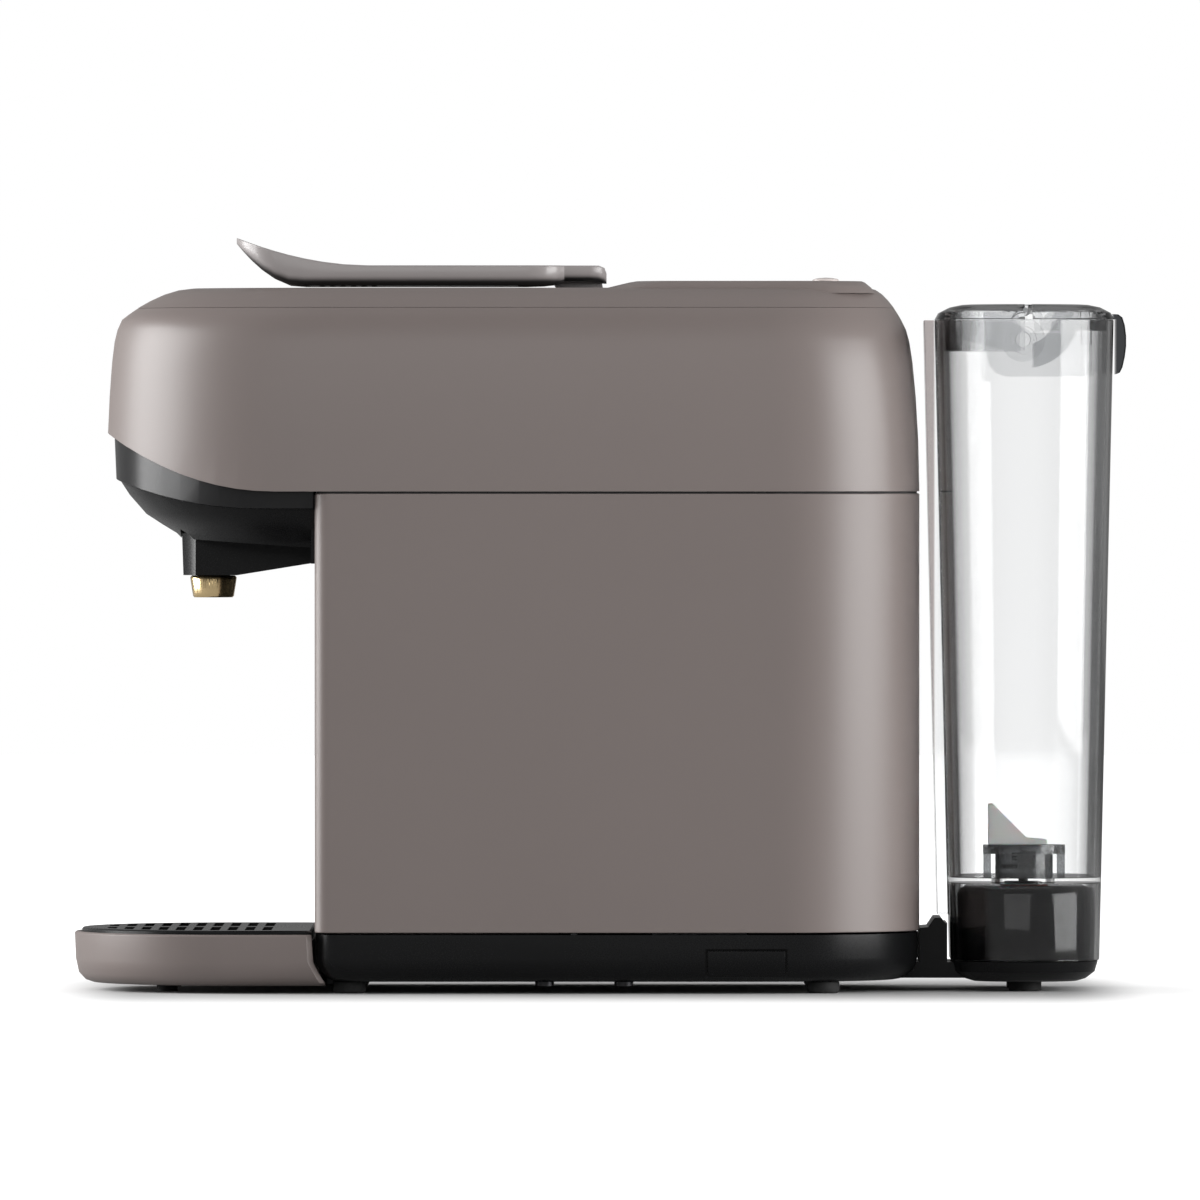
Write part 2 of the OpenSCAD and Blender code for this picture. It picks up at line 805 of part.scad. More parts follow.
module chassis() {
  wall_x = container_back + 3;
  inner = half_width - housing_wall - 2;
  chute = [slot_x - 2, slot_x + slot_length + 2];
  chute_half = slot_width / 2 + 2;
  color("#8b8d8f")
    difference() {
      intersection() {
        translate([0, 0, floor_z - 1])
          linear_extrude(height = deck_z + deck_plate - floor_z + 2)
            column_plan(housing_wall + 1.4);
        union() {
          // deck that carries the brewing unit
          block([front_x + housing_wall + 1 + FIT, -inner, deck_z],
            [back_x - 26, inner, deck_z + deck_plate]);
          // wall behind the used pods
          block([wall_x, -inner, base_top - 4], [wall_x + 2.4, inner, deck_z + EPS]);
          block([wall_x, -inner + 12, floor_z], [wall_x + 2.4, inner - 12, base_top]);
          // shelf for the thermoblock, with two webs under it
          block([wall_x, -inner + 10, shelf_z], [back_x - 22, inner - 10, shelf_z + shelf_plate]);
          for (y = [-46, 44])
            block([wall_x + 2, y, shelf_z - 14], [back_x - 26, y + 2, shelf_z + EPS]);
          // stays from the shelf's back up to the deck
          for (y = [-46, 42])
            block([back_x - 32, y, shelf_z], [back_x - 28, y + 4, deck_z + EPS]);
          // pod chute
          block([chute[0] - 1.6, -chute_half - 1.6, panel_top + 3],
            [chute[1] + 1.6, chute_half + 1.6, deck_z + EPS]);
        }
      }
      block([chute[0], -chute_half, panel_top],
        [chute[1], chute_half, deck_z + deck_plate + 1]);
      block([wall_x - 1, -12, floor_z - 1], [wall_x + 4, 12, floor_z + 12]);
      // way up for the pressure hose
      translate([hose_x, hose_y, deck_z - 1])
        cylinder(r = 6, h = deck_plate + 2);
    }
}

hose_x = back_x - 60;
hose_y = 52;

panel_top = spout_floor - nozzle_height - 3;

module thermoblock() {
  z0 = block_z;
  x0 = container_back + 26;
  color("#a8abae") {
    difference() {
      block([x0, -34, z0 + 6], [x0 + 66, 34, z0 + 44]);
      for (i = [0 : 6])
        block([x0 + 6 + 8 * i, -35, z0 + 39], [x0 + 10 + 8 * i, 35, z0 + 45]);
    }
    for (x = [x0 + 6, x0 + 54], y = [-30, 22])
      block([x, y, z0 + FIT], [x + 6, y + 8, z0 + 6 + EPS]);
  }
}

module heater() {
  z0 = block_z + 24;
  x0 = container_back + 26;
  tube_y = 12;
  color("#707274")
    for (side = [-1, 1])
      translate([x0 + 66 + FIT, side * tube_y, z0])
        rotate([0, 90, 0]) {
          cylinder(r = 3.4, h = 8);
          translate([0, 0, 8 - EPS])
            cylinder(r = 1.6, h = 7);
        }
}

pump_x = container_back + 24;
pump_z = floor_z + 34;
pump_length = 62;

module pump() {
  color("#5d6063") {
    rod_x(0, pump_z, 16, pump_x, pump_x + pump_length);
    rod_x(0, pump_z, 8, pump_x - 10, pump_x + EPS);
    rod_x(0, pump_z, 8, pump_x + pump_length - EPS, pump_x + pump_length + 12);
    block([pump_x + 10, -20, pump_z - 20], [pump_x + 46, 20, pump_z + 20]);
  }
}

module pump_mounts() {
  color("#2b2b2b")
    for (x = [pump_x - 8, pump_x + pump_length + 3])
      difference() {
        union() {
          rod_x(0, pump_z, 13, x, x + 6);
          block([x, -13, floor_z], [x + 6, 13, pump_z]);
          block([x - 3, -16, floor_z], [x + 9, 16, floor_z + 3]);
        }
        rod_x(0, pump_z, 8 + RUN, x - 4, x + 10);
      }
}

meter_x = back_x - 32;
meter_y = -holder_half - 16;
meter_z = floor_z + 9;

module flow_meter() {
  color("#d8d4c8") {
    translate([meter_x, meter_y, floor_z + FIT])
      cylinder(r = 12, h = 14);
    translate([meter_x, meter_y, floor_z + FIT])
      cylinder(r = 14, h = 3);
    rod_x(meter_y, meter_z, 3, meter_x - 20, meter_x);
    rod_y(meter_x, meter_z, 3, meter_y, meter_y + 16);
  }
}

module suction_hose() {
  z = channel_z;
  color("#b9b4a4")
    hose([[meter_x, meter_y + 16 + SLIDE, meter_z], [meter_x + 1, meter_y + 28, meter_z + 1],
      [meter_x + 5, -2, meter_z], [meter_x + 11, 0, meter_z - 3.4], [meter_x + 17, 0, z + 1],
      [back_x + 2, 0, z], [tank_x - 10, 0, z], [tank_x - 3.2 - FIT, 0, z]], 2.5);
}

module pressure_hose() {
  z0 = block_z + 44.4;
  x0 = container_back + 54;
  color("#c8c6bf")
    hose([[x0, 26, z0], [x0 + 0.4, 27, z0 + 3.2], [x0 + 8, 40, z0 + 4.6],
      [hose_x, hose_y, deck_z - 1], [hose_x, hose_y, deck_z + 6], [hose_x - 5, 44, deck_z + 14],
      [hose_x - 9, 24, pod_z - 5], [hose_x - 12, 6, pod_z - 0.6], [tie_x + 8, 0, pod_z],
      [tie_x + 4 + SLIDE, 0, pod_z]], 2.2);
}

module control_board() {
  x = container_back + 3 + 2.4;
  low = housing_z + 12;
  high = shelf_z - 12;
  color("#2f6a43")
    block([x + 5, -44, low], [x + 6.6, 44, high]);
  color("#d0d0d0")
    for (y = [-38, 38], z = [low + 6, high - 6])
      rod_x(y, z, 3, x + FIT, x + 5 + EPS);
  color("#333333") {
    block([x + 6.6 - EPS, -36, high - 26], [x + 16, -14, high - 4]);
    block([x + 6.6 - EPS, 26, high - 28], [x + 13, 40, high - 12]);
    rod_x(30, low + 18, 6, x + 6.6 - EPS, x + 15);
  }
}

board_top = crown_z - cover_wall - 5.4;

module button_board() {
  inner_z = crown_z - cover_wall;
  color("#2f6a43")
    block([window_x - 10, -32, board_top - 1.6], [button_x + 12, 32, board_top]);
  color("#d0d0d0")
    for (x = [window_x - 6, button_x + 9], side = [-1, 1])
      translate([x, side * 27, board_top - EPS])
        cylinder(r = 2.4, h = inner_z - board_top - FIT);
  color("#333333")
    for (side = [-1, 1])
      translate([button_x, side * button_spacing / 2, board_top - EPS])
        cylinder(r = 2, h = 1.6);
}

module indicator_window() {
  color("#e9e7e2")
    block([window_x - 7 + FIT, -18, panel_z - 1], [window_x + 7 - FIT, 18, panel_z - 0.1]);
}

module push_button(side) {
  z0 = board_top + 1.6 + button_travel;
  color("#ece6e2")
    translate([button_x, side * button_spacing / 2, 0])
      rotate_extrude()
        polygon([
          [0, z0],
          [2, z0],
          [2, panel_z - 3],
          [button_diameter / 2, panel_z - 3],
          [button_diameter / 2, panel_z + 0.5],
          [button_diameter / 2 - 0.5, panel_z + 1],
          [button_diameter / 4, panel_z + 1.35],
          [0, panel_z + 1.5]]);
}

module espresso_button() {
  push_button(-1);
}

module lungo_button() {
  push_button(1);
}

// ---------------------------------------------------------------- brewing unit

module brew_frame() {
  z0 = deck_z + deck_plate + FIT;
  back = tie_x + 4;
  front = chamber_x - 4;
  rail_z = rack_z - 6.5;
  color("#b5b7ba")
    difference() {
      union() {
        both_sides() {
          difference() {
            block([front - 3, frame_y, z0], [back, frame_y + frame_plate, crown_z - 8]);
            block([shaft_x + 14, frame_y - 1, rack_z + 12],
              [back + 1, frame_y + frame_plate + 1, crown_z]);
            rod_y(shaft_x - 40, pod_z + 22, 11, frame_y - 1, frame_y + frame_plate + 1);
          }
          // boss round the lever's shaft
          rod_y(shaft_x, shaft_z, 6.4, frame_y, frame_y + frame_plate);
          // foot flange
          block([front - 3, frame_y, z0], [back, frame_y + 12, z0 + 2.6]);
          // rail under the rack
          block([cage_back + 8, cage_radius + 0.6, rail_z - 4],
            [back, frame_y + EPS, rail_z]);
        }
        // tie across the back, which holds the water pipe's sleeve
        block([tie_x, -frame_y - EPS, pod_z - 7], [tie_x + 4, frame_y + EPS, pod_z + 7]);
        // cross wall that takes the brewing pressure
        block([front - 3, -frame_y - EPS, z0], [front, frame_y + EPS, pod_z + 26]);
      }
      rod_y(shaft_x, shaft_z, shaft_diameter / 2 + RUN, -50, 50);
      rod_y(shaft_x, pinion_z, pinion_shaft_r + RUN, -50, 50);
      rod_x(0, pod_z - 15, 5, front - 4, front + 1);
      rod_x(0, pod_z, 4 + FIT / 2, tie_x - 1, tie_x + 5);
    }
}

// Sleeve that the moving water pipe slides in, held by the frame's tie
module pipe_sleeve() {
  color("#c9a86a")
    difference() {
      union() {
        rod_x(0, pod_z, 4, sleeve_x, tie_x + 4);
        rod_x(0, pod_z, 6, tie_x - 2.4, tie_x - FIT);
      }
      rod_x(0, pod_z, pipe_r + RUN, sleeve_x - 1, tie_x + 2);
    }
}

module water_pipe() {
  color("#cfd2d6")
    difference() {
      rod_x(0, pod_z, pipe_r, cage_back + 7 + FIT, sleeve_x + 8);
      rod_x(0, pod_z, pipe_r - 0.8, cage_back + 6, sleeve_x + 9);
    }
}

module piercing_plate() {
  front = chamber_x - 4;
  color("#c4c6c9") {
    difference() {
      rod_x(0, pod_z, cage_radius + 1, front + FIT, chamber_x);
      rod_x(0, pod_z - 15, 3.4, front - 1, chamber_x + 1);
    }
    // pyramids that tear the pod's foil
    for (i = [-3 : 3], j = [-3 : 3])
      if (i * i + j * j < 12 && j > -3)
        translate([chamber_x - EPS, i * 4.2, pod_z + j * 4.2])
          rotate([0, 90, 0])
            cylinder(r1 = 1.4, r2 = 0.4, h = 0.5, $fn = 4);
  }
}

module pod_funnel() {
  low = pod_z + cage_radius + 3;
  high = crown_z - cover_wall - FIT;
  color("#2a2a2b")
    difference() {
      union() {
        block([slot_x - 1.6, -slot_width / 2 - 1.6, low],
          [slot_x + slot_length + 1.6, slot_width / 2 + 1.6, high]);
        both_sides()
          block([slot_x + 6, slot_width / 2, low], [slot_x + 18, frame_y - FIT, low + 3]);
      }
      block([slot_x, -slot_width / 2, low - 1],
        [slot_x + slot_length, slot_width / 2, high + 1]);
    }
}

module lever_shaft() {
  end = frame_y + frame_plate + 1;
  color("#cfd2d6")
    rod_y(shaft_x, shaft_z, shaft_diameter / 2, -end, end);
}

module gear_sector() {
  tip_r = sector_radius + 0.9 * tooth_module;
  root_r = sector_radius - 1.2 * tooth_module;
  pitch_angle = 360 / sector_teeth;
  count = ceil(lever_swing / pitch_angle) + 2;
  span = pitch_angle * (count - 1);
  // the first tooth points straight down at the pinion
  for (k = [-1 : count - 2])
    rotate([0, 0, -90 + pitch_angle * k])
      tooth(sector_teeth);
  intersection() {
    circle(r = root_r);
    polygon(concat([[0, 0]],
      [for (k = [0 : 8])
        let (a = -90 - pitch_angle * 1.4 + (span + 0.8 * pitch_angle) * k / 8)
          tip_r * 1.3 * [cos(a), sin(a)]]));
  }
  circle(r = 6.4);
}

module lever_sectors() {
  color("#d9d6cd")
    both_sides()
      difference() {
        translate([shaft_x, gear_y + gear_width, shaft_z])
          rotate([90, 0, 0])
            linear_extrude(height = gear_width)
              gear_sector();
        rod_y(shaft_x, shaft_z, shaft_diameter / 2 + RUN, 0, 50);
      }
}

module idler_pinions() {
  end = frame_y + frame_plate + 1;
  pitch_angle = 360 / pinion_teeth;
  root_r = pinion_radius - 1.2 * tooth_module;
  color("#d9d6cd")
    both_sides()
      translate([shaft_x, gear_y + gear_width, pinion_z])
        rotate([90, 0, 0])
          linear_extrude(height = gear_width)
            union() {
              circle(r = root_r);
              // a gap between two teeth faces the sector's first tooth
              for (k = [0 : pinion_teeth - 1])
                rotate([0, 0, 90 + pitch_angle * (k + 0.5)])
                  tooth(pinion_teeth);
            }
  color("#cfd2d6")
    rod_y(shaft_x, pinion_z, pinion_shaft_r, -end, end);
}

// Side of one rack: straight flanks, with a tooth or a gap under the pinion's middle
module rack_side(x0, x1, z0) {
  pitch = PI * tooth_module;
  root = rack_z - 1.2 * tooth_module;
  tip = rack_z + 0.9 * tooth_module;
  slope = tan(pressure_angle);
  half = pitch / 4 - backlash / 2;
  // whether the pinion's lowest point is a tooth or a gap sets the rack's phase
  phase = (pinion_teeth % 2 == 0) ? 0 : 0.5;
  first = ceil((x0 - shaft_x) / pitch + 0.5);
  last = floor((x1 - shaft_x) / pitch - 0.5);
  translate([x0, z0])
    square([x1 - x0, root - z0]);
  for (k = [first : last])
    translate([shaft_x + pitch * (k + phase), 0])
      polygon([
        [-half - slope * (rack_z - root) , root - EPS],
        [-half + slope * (tip - rack_z), tip],
        [half - slope * (tip - rack_z), tip],
        [half + slope * (rack_z - root), root - EPS]]);
}

module brew_carriage() {
  arm_low = rack_z - 6.5 + FIT;
  x0 = cage_back;
  x1 = shaft_x + 8;
  color("#e2dfd6") {
    difference() {
      union() {
        block([x0 + FIT, -gear_y - gear_width, arm_low + 0.3],
          [x0 + 7, gear_y + gear_width, pod_z + 8]);
        rod_x(0, pod_z, cage_radius - 2, x0 + FIT, x0 + 7);
      }
      rod_x(0, pod_z, 3, x0 - 1, x0 + 8);
    }
    both_sides()
      across(gear_width, gear_y + gear_width / 2)
        rack_side(x0 + 4, x1, arm_low);
  }
}

module pod_cage() {
  x0 = chamber_x + 0.6;
  color("#9a9ca0")
    difference() {
      rod_x(0, pod_z, cage_radius, x0, cage_back);
      rod_x(0, pod_z, 19, x0 - 1, x0 + 3);
      translate([x0 + 3 - EPS, 0, pod_z])
        rotate([0, 90, 0])
          cylinder(r1 = 17, r2 = 12, h = cage_length - 7);
      rod_x(0, pod_z, 2.6, x0, cage_back + 1);
    }
}

module cage_seal() {
  color("#1f1f1f")
    translate([chamber_x + 0.6, 0, pod_z])
      rotate([0, 90, 0])
        rotate_extrude()
          translate([17.4, 1.2])
            square([1.5, 1.6]);
}

module cage_needles() {
  back = chamber_x + 0.6 + 3 + cage_length - 7 - 2 * EPS;
  color("#d5d7da")
    for (a = [0, 120, 240])
      translate([back, 7 * sin(a), pod_z + 7 * cos(a)])
        rotate([0, -90, 0])
          cylinder(r1 = 1.1, r2 = 0.3, h = 4);
}

// ---------------------------------------------------------------- lever

lever_top = crown_z + lever_height;
lever_low = lever_top - lever_shell;
lever_tip = shaft_x - lever_reach;
lever_back = shaft_x + 6.5;
curl_length = 50;

tip_run = 23;
tip_corner = 20;
pocket_edge = 6;
pocket_front = lever_tip + 27;
pocket_back = shaft_x - 27;

// Height of the lever's top at a distance behind its tip
function lever_top_at(d) = lever_top + lever_curl * pow(max(0, 1 - d / curl_length), 1.9);

// Height of its underside there
function lever_low_at(d) = lever_low + (lever_curl + 5.6) * pow(max(0, 1 - d / tip_run), 1.75);

// Half the width of the lever there: round corners at the tip
function lever_half_at(d) = lever_width / 2 - tip_corner
  + sqrt(tip_corner * tip_corner - pow(tip_corner - min(d, tip_corner), 2));

// A cross-section of the lever: flat on top, rolled under at both sides
function lever_ring(x, half, top, low) = let (
    roll = min(4.2, (top - low) * 0.56),
    side = concat(
      [[half - 1, top], [half - 0.25, top - 0.25], [half, top - 1]],
      [for (k = [0 : 4])
        let (t = 22.5 * k)
          [half - roll * (1 - cos(t)), low + roll * (1 - sin(t))]])
  ) concat(
    [for (p = side) [x, p[0], p[1]]],
    [for (i = [len(side) - 1 : -1 : 0]) [x, -side[i][0], side[i][1]]]);

// Curled tip, long flat middle, and shoulders that draw in to a neck between the well's sides
module lever_body() {
  half = lever_width / 2;
  // distance behind the shaft, half width, drop of the top and lift of the underside there
  shoulder = [
    [-24, half, 0, 0], [-17.5, half - 0.8, 0, 0.2], [-13, half - 3.6, 0, 0.7],
    [-10.4, half - 7.6, 0, 1.3], [-9.6, neck_half, 0, 1.6], [0, neck_half - 1, 0, 1.6],
    [3.5, neck_half - 2.4, 0, 1.4], [5.7, neck_half - 4.6, 0.9, 1.2],
    [6.5, neck_half - 7.4, 3, 1.2]];
  loft(concat(
    [for (d = [0, 1, 3, 6, 10, 14.5, 20, 26, 33, 41, 50])
      lever_ring(lever_tip + d, lever_half_at(d), lever_top_at(d), lever_low_at(d))],
    [for (p = shoulder)
      lever_ring(shaft_x + p[0], p[1], lever_top - p[2], lever_low + p[3])]));
}

module lever() {
  pocket_half = lever_width / 2 - pocket_edge;
  pocket_roof = lever_top - 2.6;
  color("#968c88")
    difference() {
      union() {
        difference() {
          lever_body();
          block([pocket_front, -pocket_half, lever_low - 1],
            [pocket_back, pocket_half, pocket_roof]);
        }
        // ribs in the pocket
        both_sides()
          block([pocket_front - EPS, 12, lever_low + 2.2],
            [pocket_back + EPS, 13.6, pocket_roof + EPS]);
        // arms down to the shaft
        both_sides()
          across(9, 13)
            union() {
              polygon([
                [shaft_x - 15, lever_low + 2.9],
                [shaft_x - 6.6, shaft_z],
                [shaft_x + 6.6, shaft_z],
                [lever_back - 2, lever_low + 3]]);
              translate([shaft_x, shaft_z])
                circle(r = 6.6);
            }
      }
      rod_y(shaft_x, shaft_z, shaft_diameter / 2 + RUN, -40, 40);
    }
}

module lever_liner() {
  half = lever_width / 2 - pocket_edge - FIT;
  x0 = pocket_front + FIT;
  color("#2c2a2a")
    difference() {
      block([x0, -half, lever_low + FIT], [pocket_back - FIT, half, lever_low + 1.8]);
      // finger grooves
      for (k = [0 : 5])
        block([x0 + 4 + 4 * k, 8 - half, lever_low - 1], [x0 + 5.8 + 4 * k, half - 8, lever_low + 0.9]);
    }
}

// ---------------------------------------------------------------- drip tray

// Plan of the tray and its grid: a D with a round front
function tray_ring(z, inset, back) = let (
    half = tray_width / 2 - inset,
    x0 = tray_front + inset,
    nose = 60 - inset * 0.6
  ) concat(
    [for (i = [0 : 24])
      let (t = 90 - 7.5 * i)
        [x0 + nose * (1 - cos(t)), -half * sin(t), z]],
    [[back - 2, half, z], [back, half - 2, z], [back, 2 - half, z], [back - 2, -half, z]]
  );

module drip_tray() {
  rim_x = front_x - 0.2;
  heel_x = front_x + 4;
  ledge_z = tray_top - 2.6;
  color("#7d7370") {
    difference() {
      loft([
        tray_ring(tray_z, 7, heel_x),
        tray_ring(tray_z + 1, 4, heel_x - 0.2),
        tray_ring(tray_z + 3.6, 1.6, heel_x - 1.8),
        tray_ring(tray_z + 9, 0.4, rim_x - 0.4),
        tray_ring(tray_top - 0.6, 0, rim_x - 1),
        tray_ring(tray_top, 0.6, rim_x - 1)]);
      loft([
        tray_ring(tray_z + 2.4, 9, rim_x - 6),
        tray_ring(tray_z + 6, tray_wall + 2, rim_x - 4.4),
        tray_ring(ledge_z, tray_wall + 2, rim_x - 4.4)]);
      loft([
        tray_ring(ledge_z, tray_wall, rim_x + 10),
        tray_ring(tray_top + 1, tray_wall, rim_x + 10)]);
    }
    // tail that runs back under the used pod container
    difference() {
      block([rim_x - 3, -tail_half, tail_z], [container_back - 2, tail_half, tail_z + tail_plate]);
      for (x = [front_x + 14 : 22 : container_back - 20])
        block([x, -tail_half + 14, tail_z - 1], [x + 8, tail_half - 14, tail_z + 5]);
    }
    both_sides()
      block([front_x + 6, tail_half - 2.4, tail_z], [container_back - 2, tail_half, container_z - FIT]);
    block([front_x + 6, -tail_half, tail_z], [front_x + 8.4, tail_half, container_z - FIT]);
  }
}

grid_top = tray_top + 1.5;

module drip_grid() {
  z0 = grid_top - grid_thickness;
  inset = tray_wall + SLIDE;
  back = front_x - 1.4;
  slot_from = tray_front + 13;
  count = floor((back - 8 - slot_from) / grid_pitch);
  color("#1c1c1d")
    difference() {
      loft([
        tray_ring(z0, inset, back),
        tray_ring(grid_top - 0.6, inset, back),
        tray_ring(grid_top, inset + 0.6, back - 0.6)]);
      intersection() {
        for (k = [0 : count - 1], side = [-1, 1])
          translate([slot_from + grid_pitch * k, side * 34 - 27, z0 - 1])
            cube([grid_slot, 54, grid_thickness + 2]);
        loft([
          tray_ring(z0 - 2, inset + 6, back - 6),
          tray_ring(grid_top + 2, inset + 6, back - 6)]);
      }
    }
}

module tray_foot() {
  color("#262626")
    for (side = [-1, 1])
      translate([tray_front + 36, side * 34, 0.2])
        cylinder(r = 4, h = tray_z - 0.2);
}

module pod_container() {
  wall = 2;
  x0 = front_x + 3.6;
  color("#232324")
    difference() {
      block([x0, -container_half, container_z],
        [container_back, container_half, container_z + container_height]);
      block([x0 + wall, wall - container_half, container_z + wall],
        [container_back - wall, container_half - wall, container_z + container_height + 1]);
      for (k = [0 : 6])
        block([x0 + 12 + 11 * k, -30, container_z - 1],
          [x0 + 16 + 11 * k, 30, container_z + wall + 1]);
    }
}

module front_panel() {
  color("#1b1b1c")
    difference() {
      block([front_x + 0.2, -back_panel_half, tail_z + tail_plate + 2 * FIT],
        [front_x + 3.4, back_panel_half, panel_top]);
      translate([front_x, 0, panel_top - 9])
        rotate([0, 90, 0])
          cylinder(r = 3, h = 1.2);
    }
}

// ---------------------------------------------------------------- tank and its holder

module tank_holder() {
  rise = 16;
  half_x = tank_half(tank_z) - 0.6;
  half_y = half_x + (tank_width - tank_length) / 2;
  hook_x = tank_x - tank_half(tank_z + rise) - 1;
  color("#1b1b1c")
    difference() {
      union() {
        loft([
          oval_ring(tank_x, saucer_z, half_x - 8, half_y - 8),
          oval_ring(tank_x, saucer_z + 1, half_x - 4.6, half_y - 4.6),
          oval_ring(tank_x, saucer_z + 3.6, half_x - 1.2, half_y - 1.2),
          oval_ring(tank_x, saucer_z + saucer_height - 0.4, half_x, half_y)]);
        // arm into the base
        block([back_x - 28, -holder_half, base_z + 0.4], [tank_x - 10, holder_half, tank_z - 0.9]);
        // upstand that guides the tank in
        difference() {
          block([back_x, -holder_half, tank_z - 2], [hook_x, holder_half, tank_z + rise]);
          across(2 * holder_half + 2)
            polygon([
              [back_x - 1, tank_z + 12], [back_x + 3.4, tank_z + 12.4],
              [back_x + 5.4, tank_z + rise - 0.6], [back_x + 6.6, tank_z + rise + 1],
              [back_x - 1, tank_z + rise + 1]]);
          across(2 * holder_half + 2)
            polygon([
              [hook_x - 3, tank_z + rise + 1], [hook_x - 0.8, tank_z + rise - 2],
              [hook_x + 1, tank_z + rise - 2], [hook_x + 1, tank_z + rise + 1]]);
        }
      }
      // hose channel
      block([back_x - 29, -3.4, channel_z - 3.4], [tank_x + 3.4, 3.4, channel_z + 2.8]);
      block([back_x - 29, -3.4, channel_z - 3.4], [back_x - 6, 3.4, tank_z + 3]);
      block([tank_x - 8, -3.4, channel_z - 3.4], [tank_x + 3.4, 3.4, tank_z + 3]);
    }
}

module tank_plinth() {
  gap = tank_wall + 0.6;
  top_gap = gap + 0.8;
  color("#0e0e0f")
    difference() {
      loft([
        tank_ring(plinth_z - 0.4 + 2 * FIT, gap),
        tank_ring(plinth_top - 3, gap),
        tank_ring(plinth_top - 1, gap + 1),
        tank_ring(plinth_top, gap + 3)]);
      loft([
        tank_ring(plinth_z - 1, gap + 2.4),
        tank_ring(plinth_top - 2.6, gap + 3)]);
      translate([tank_x, 0, plinth_top - 4])
        cylinder(r = 10, h = 6);
    }
}

module tank_socket() {
  z0 = tank_z - 0.2;
  neck = valve_bore - 1.6;
  color("#3b3b3c")
    translate([tank_x, 0, 0])
      union() {
        rotate_extrude()
          polygon([
            [0, channel_z - 3.2], [3.2, channel_z - 3.2], [3.2, z0], [14, z0],
            [14, z0 + 3], [9.6, z0 + 3],
            [9.6, plinth_top - 0.6], [neck, plinth_top - 0.6],
            [neck, tank_floor + 0.6], [3.6, tank_floor + 0.6],
            [3.6, z0 + 9], [2, z0 + 9], [2, channel_z], [0, channel_z]]);
        // pin on its bridge, which holds the valve open
        translate([-5, -0.8, z0 + 11])
          cube([10, 1.6, 2]);
        translate([0, 0, z0 + 11.5])
          cylinder(r = 1.4, h = valve_rest_z - 0.1 - z0 - 11.5);
      }
}

module socket_seal() {
  color("#a04030")
    translate([tank_x, 0, plinth_top + 0.4])
      rotate_extrude()
        translate([valve_bore + 1.4, 0])
          circle(r = 0.9);
}

module tank_shell() {
  rib = 4.6;
  color("#dfe6ea80")
    difference() {
      union() {
        loft([tank_ring(tank_z, 0), tank_ring(tank_top, 0)]);
        both_sides()
          across(2, 11)
            polygon([
              [tank_x - tank_half(tank_z + 17) - rib, tank_z + 17],
              [tank_x - tank_half(tank_z + 17) + 1.4, tank_z + 17],
              [tank_x - tank_half(tank_top) + 1.4, tank_top],
              [tank_x - tank_half(tank_top) - rib, tank_top]]);
      }
      loft([
        tank_ring(tank_floor + tank_floor_plate, tank_wall),
        tank_ring(tank_top + 1, tank_wall)]);
      loft([tank_ring(tank_z - 1, tank_wall), tank_ring(tank_floor, tank_wall)]);
      translate([tank_x, 0, tank_floor - 1])
        cylinder(r = valve_bore, h = tank_floor_plate + 2);
    }
}

flap_x = tank_x - 0.4;
flap_z = tank_top + lid_height - 2.3;
barrel_r = 2.2;
barrel_half = tank_width / 2 - 20;

// Dome of the lid, set in by a wall
module lid_dome(wall) {
  z0 = tank_top + FIT - (wall > 0 ? 1 : 0);
  half_y = (tank_width - tank_length) / 2;
  half = tank_length / 2 + 0.2 - wall;
  rise = lid_height - FIT - wall * 0.9;
  loft([for (s = [0, 0.3, 0.6, 0.85, 1])
    let (z = tank_top + FIT + rise * sin(90 * s), inset = 13 * (1 - cos(90 * s)))
      oval_ring(tank_x, s == 0 ? z0 : z, half - inset, half - inset + half_y)]);
}

// Ring wall that plugs the tank's mouth
module lid_plug(depth) {
  loft([
    tank_ring(tank_top - depth, tank_wall + 1),
    tank_ring(tank_top + 1.2, tank_wall + 1)]);
}

// Everything inside that ring wall, between two heights
module inside_plug(low, high) {
  loft([tank_ring(tank_top + low, tank_wall + 2.6), tank_ring(tank_top + high, tank_wall + 2.6)]);
}

// Hollow under the dome
module lid_hollow() {
  inside_plug(-13, 0.5);
  intersection() {
    lid_dome(1.8);
    inside_plug(-2, 8);
  }
}

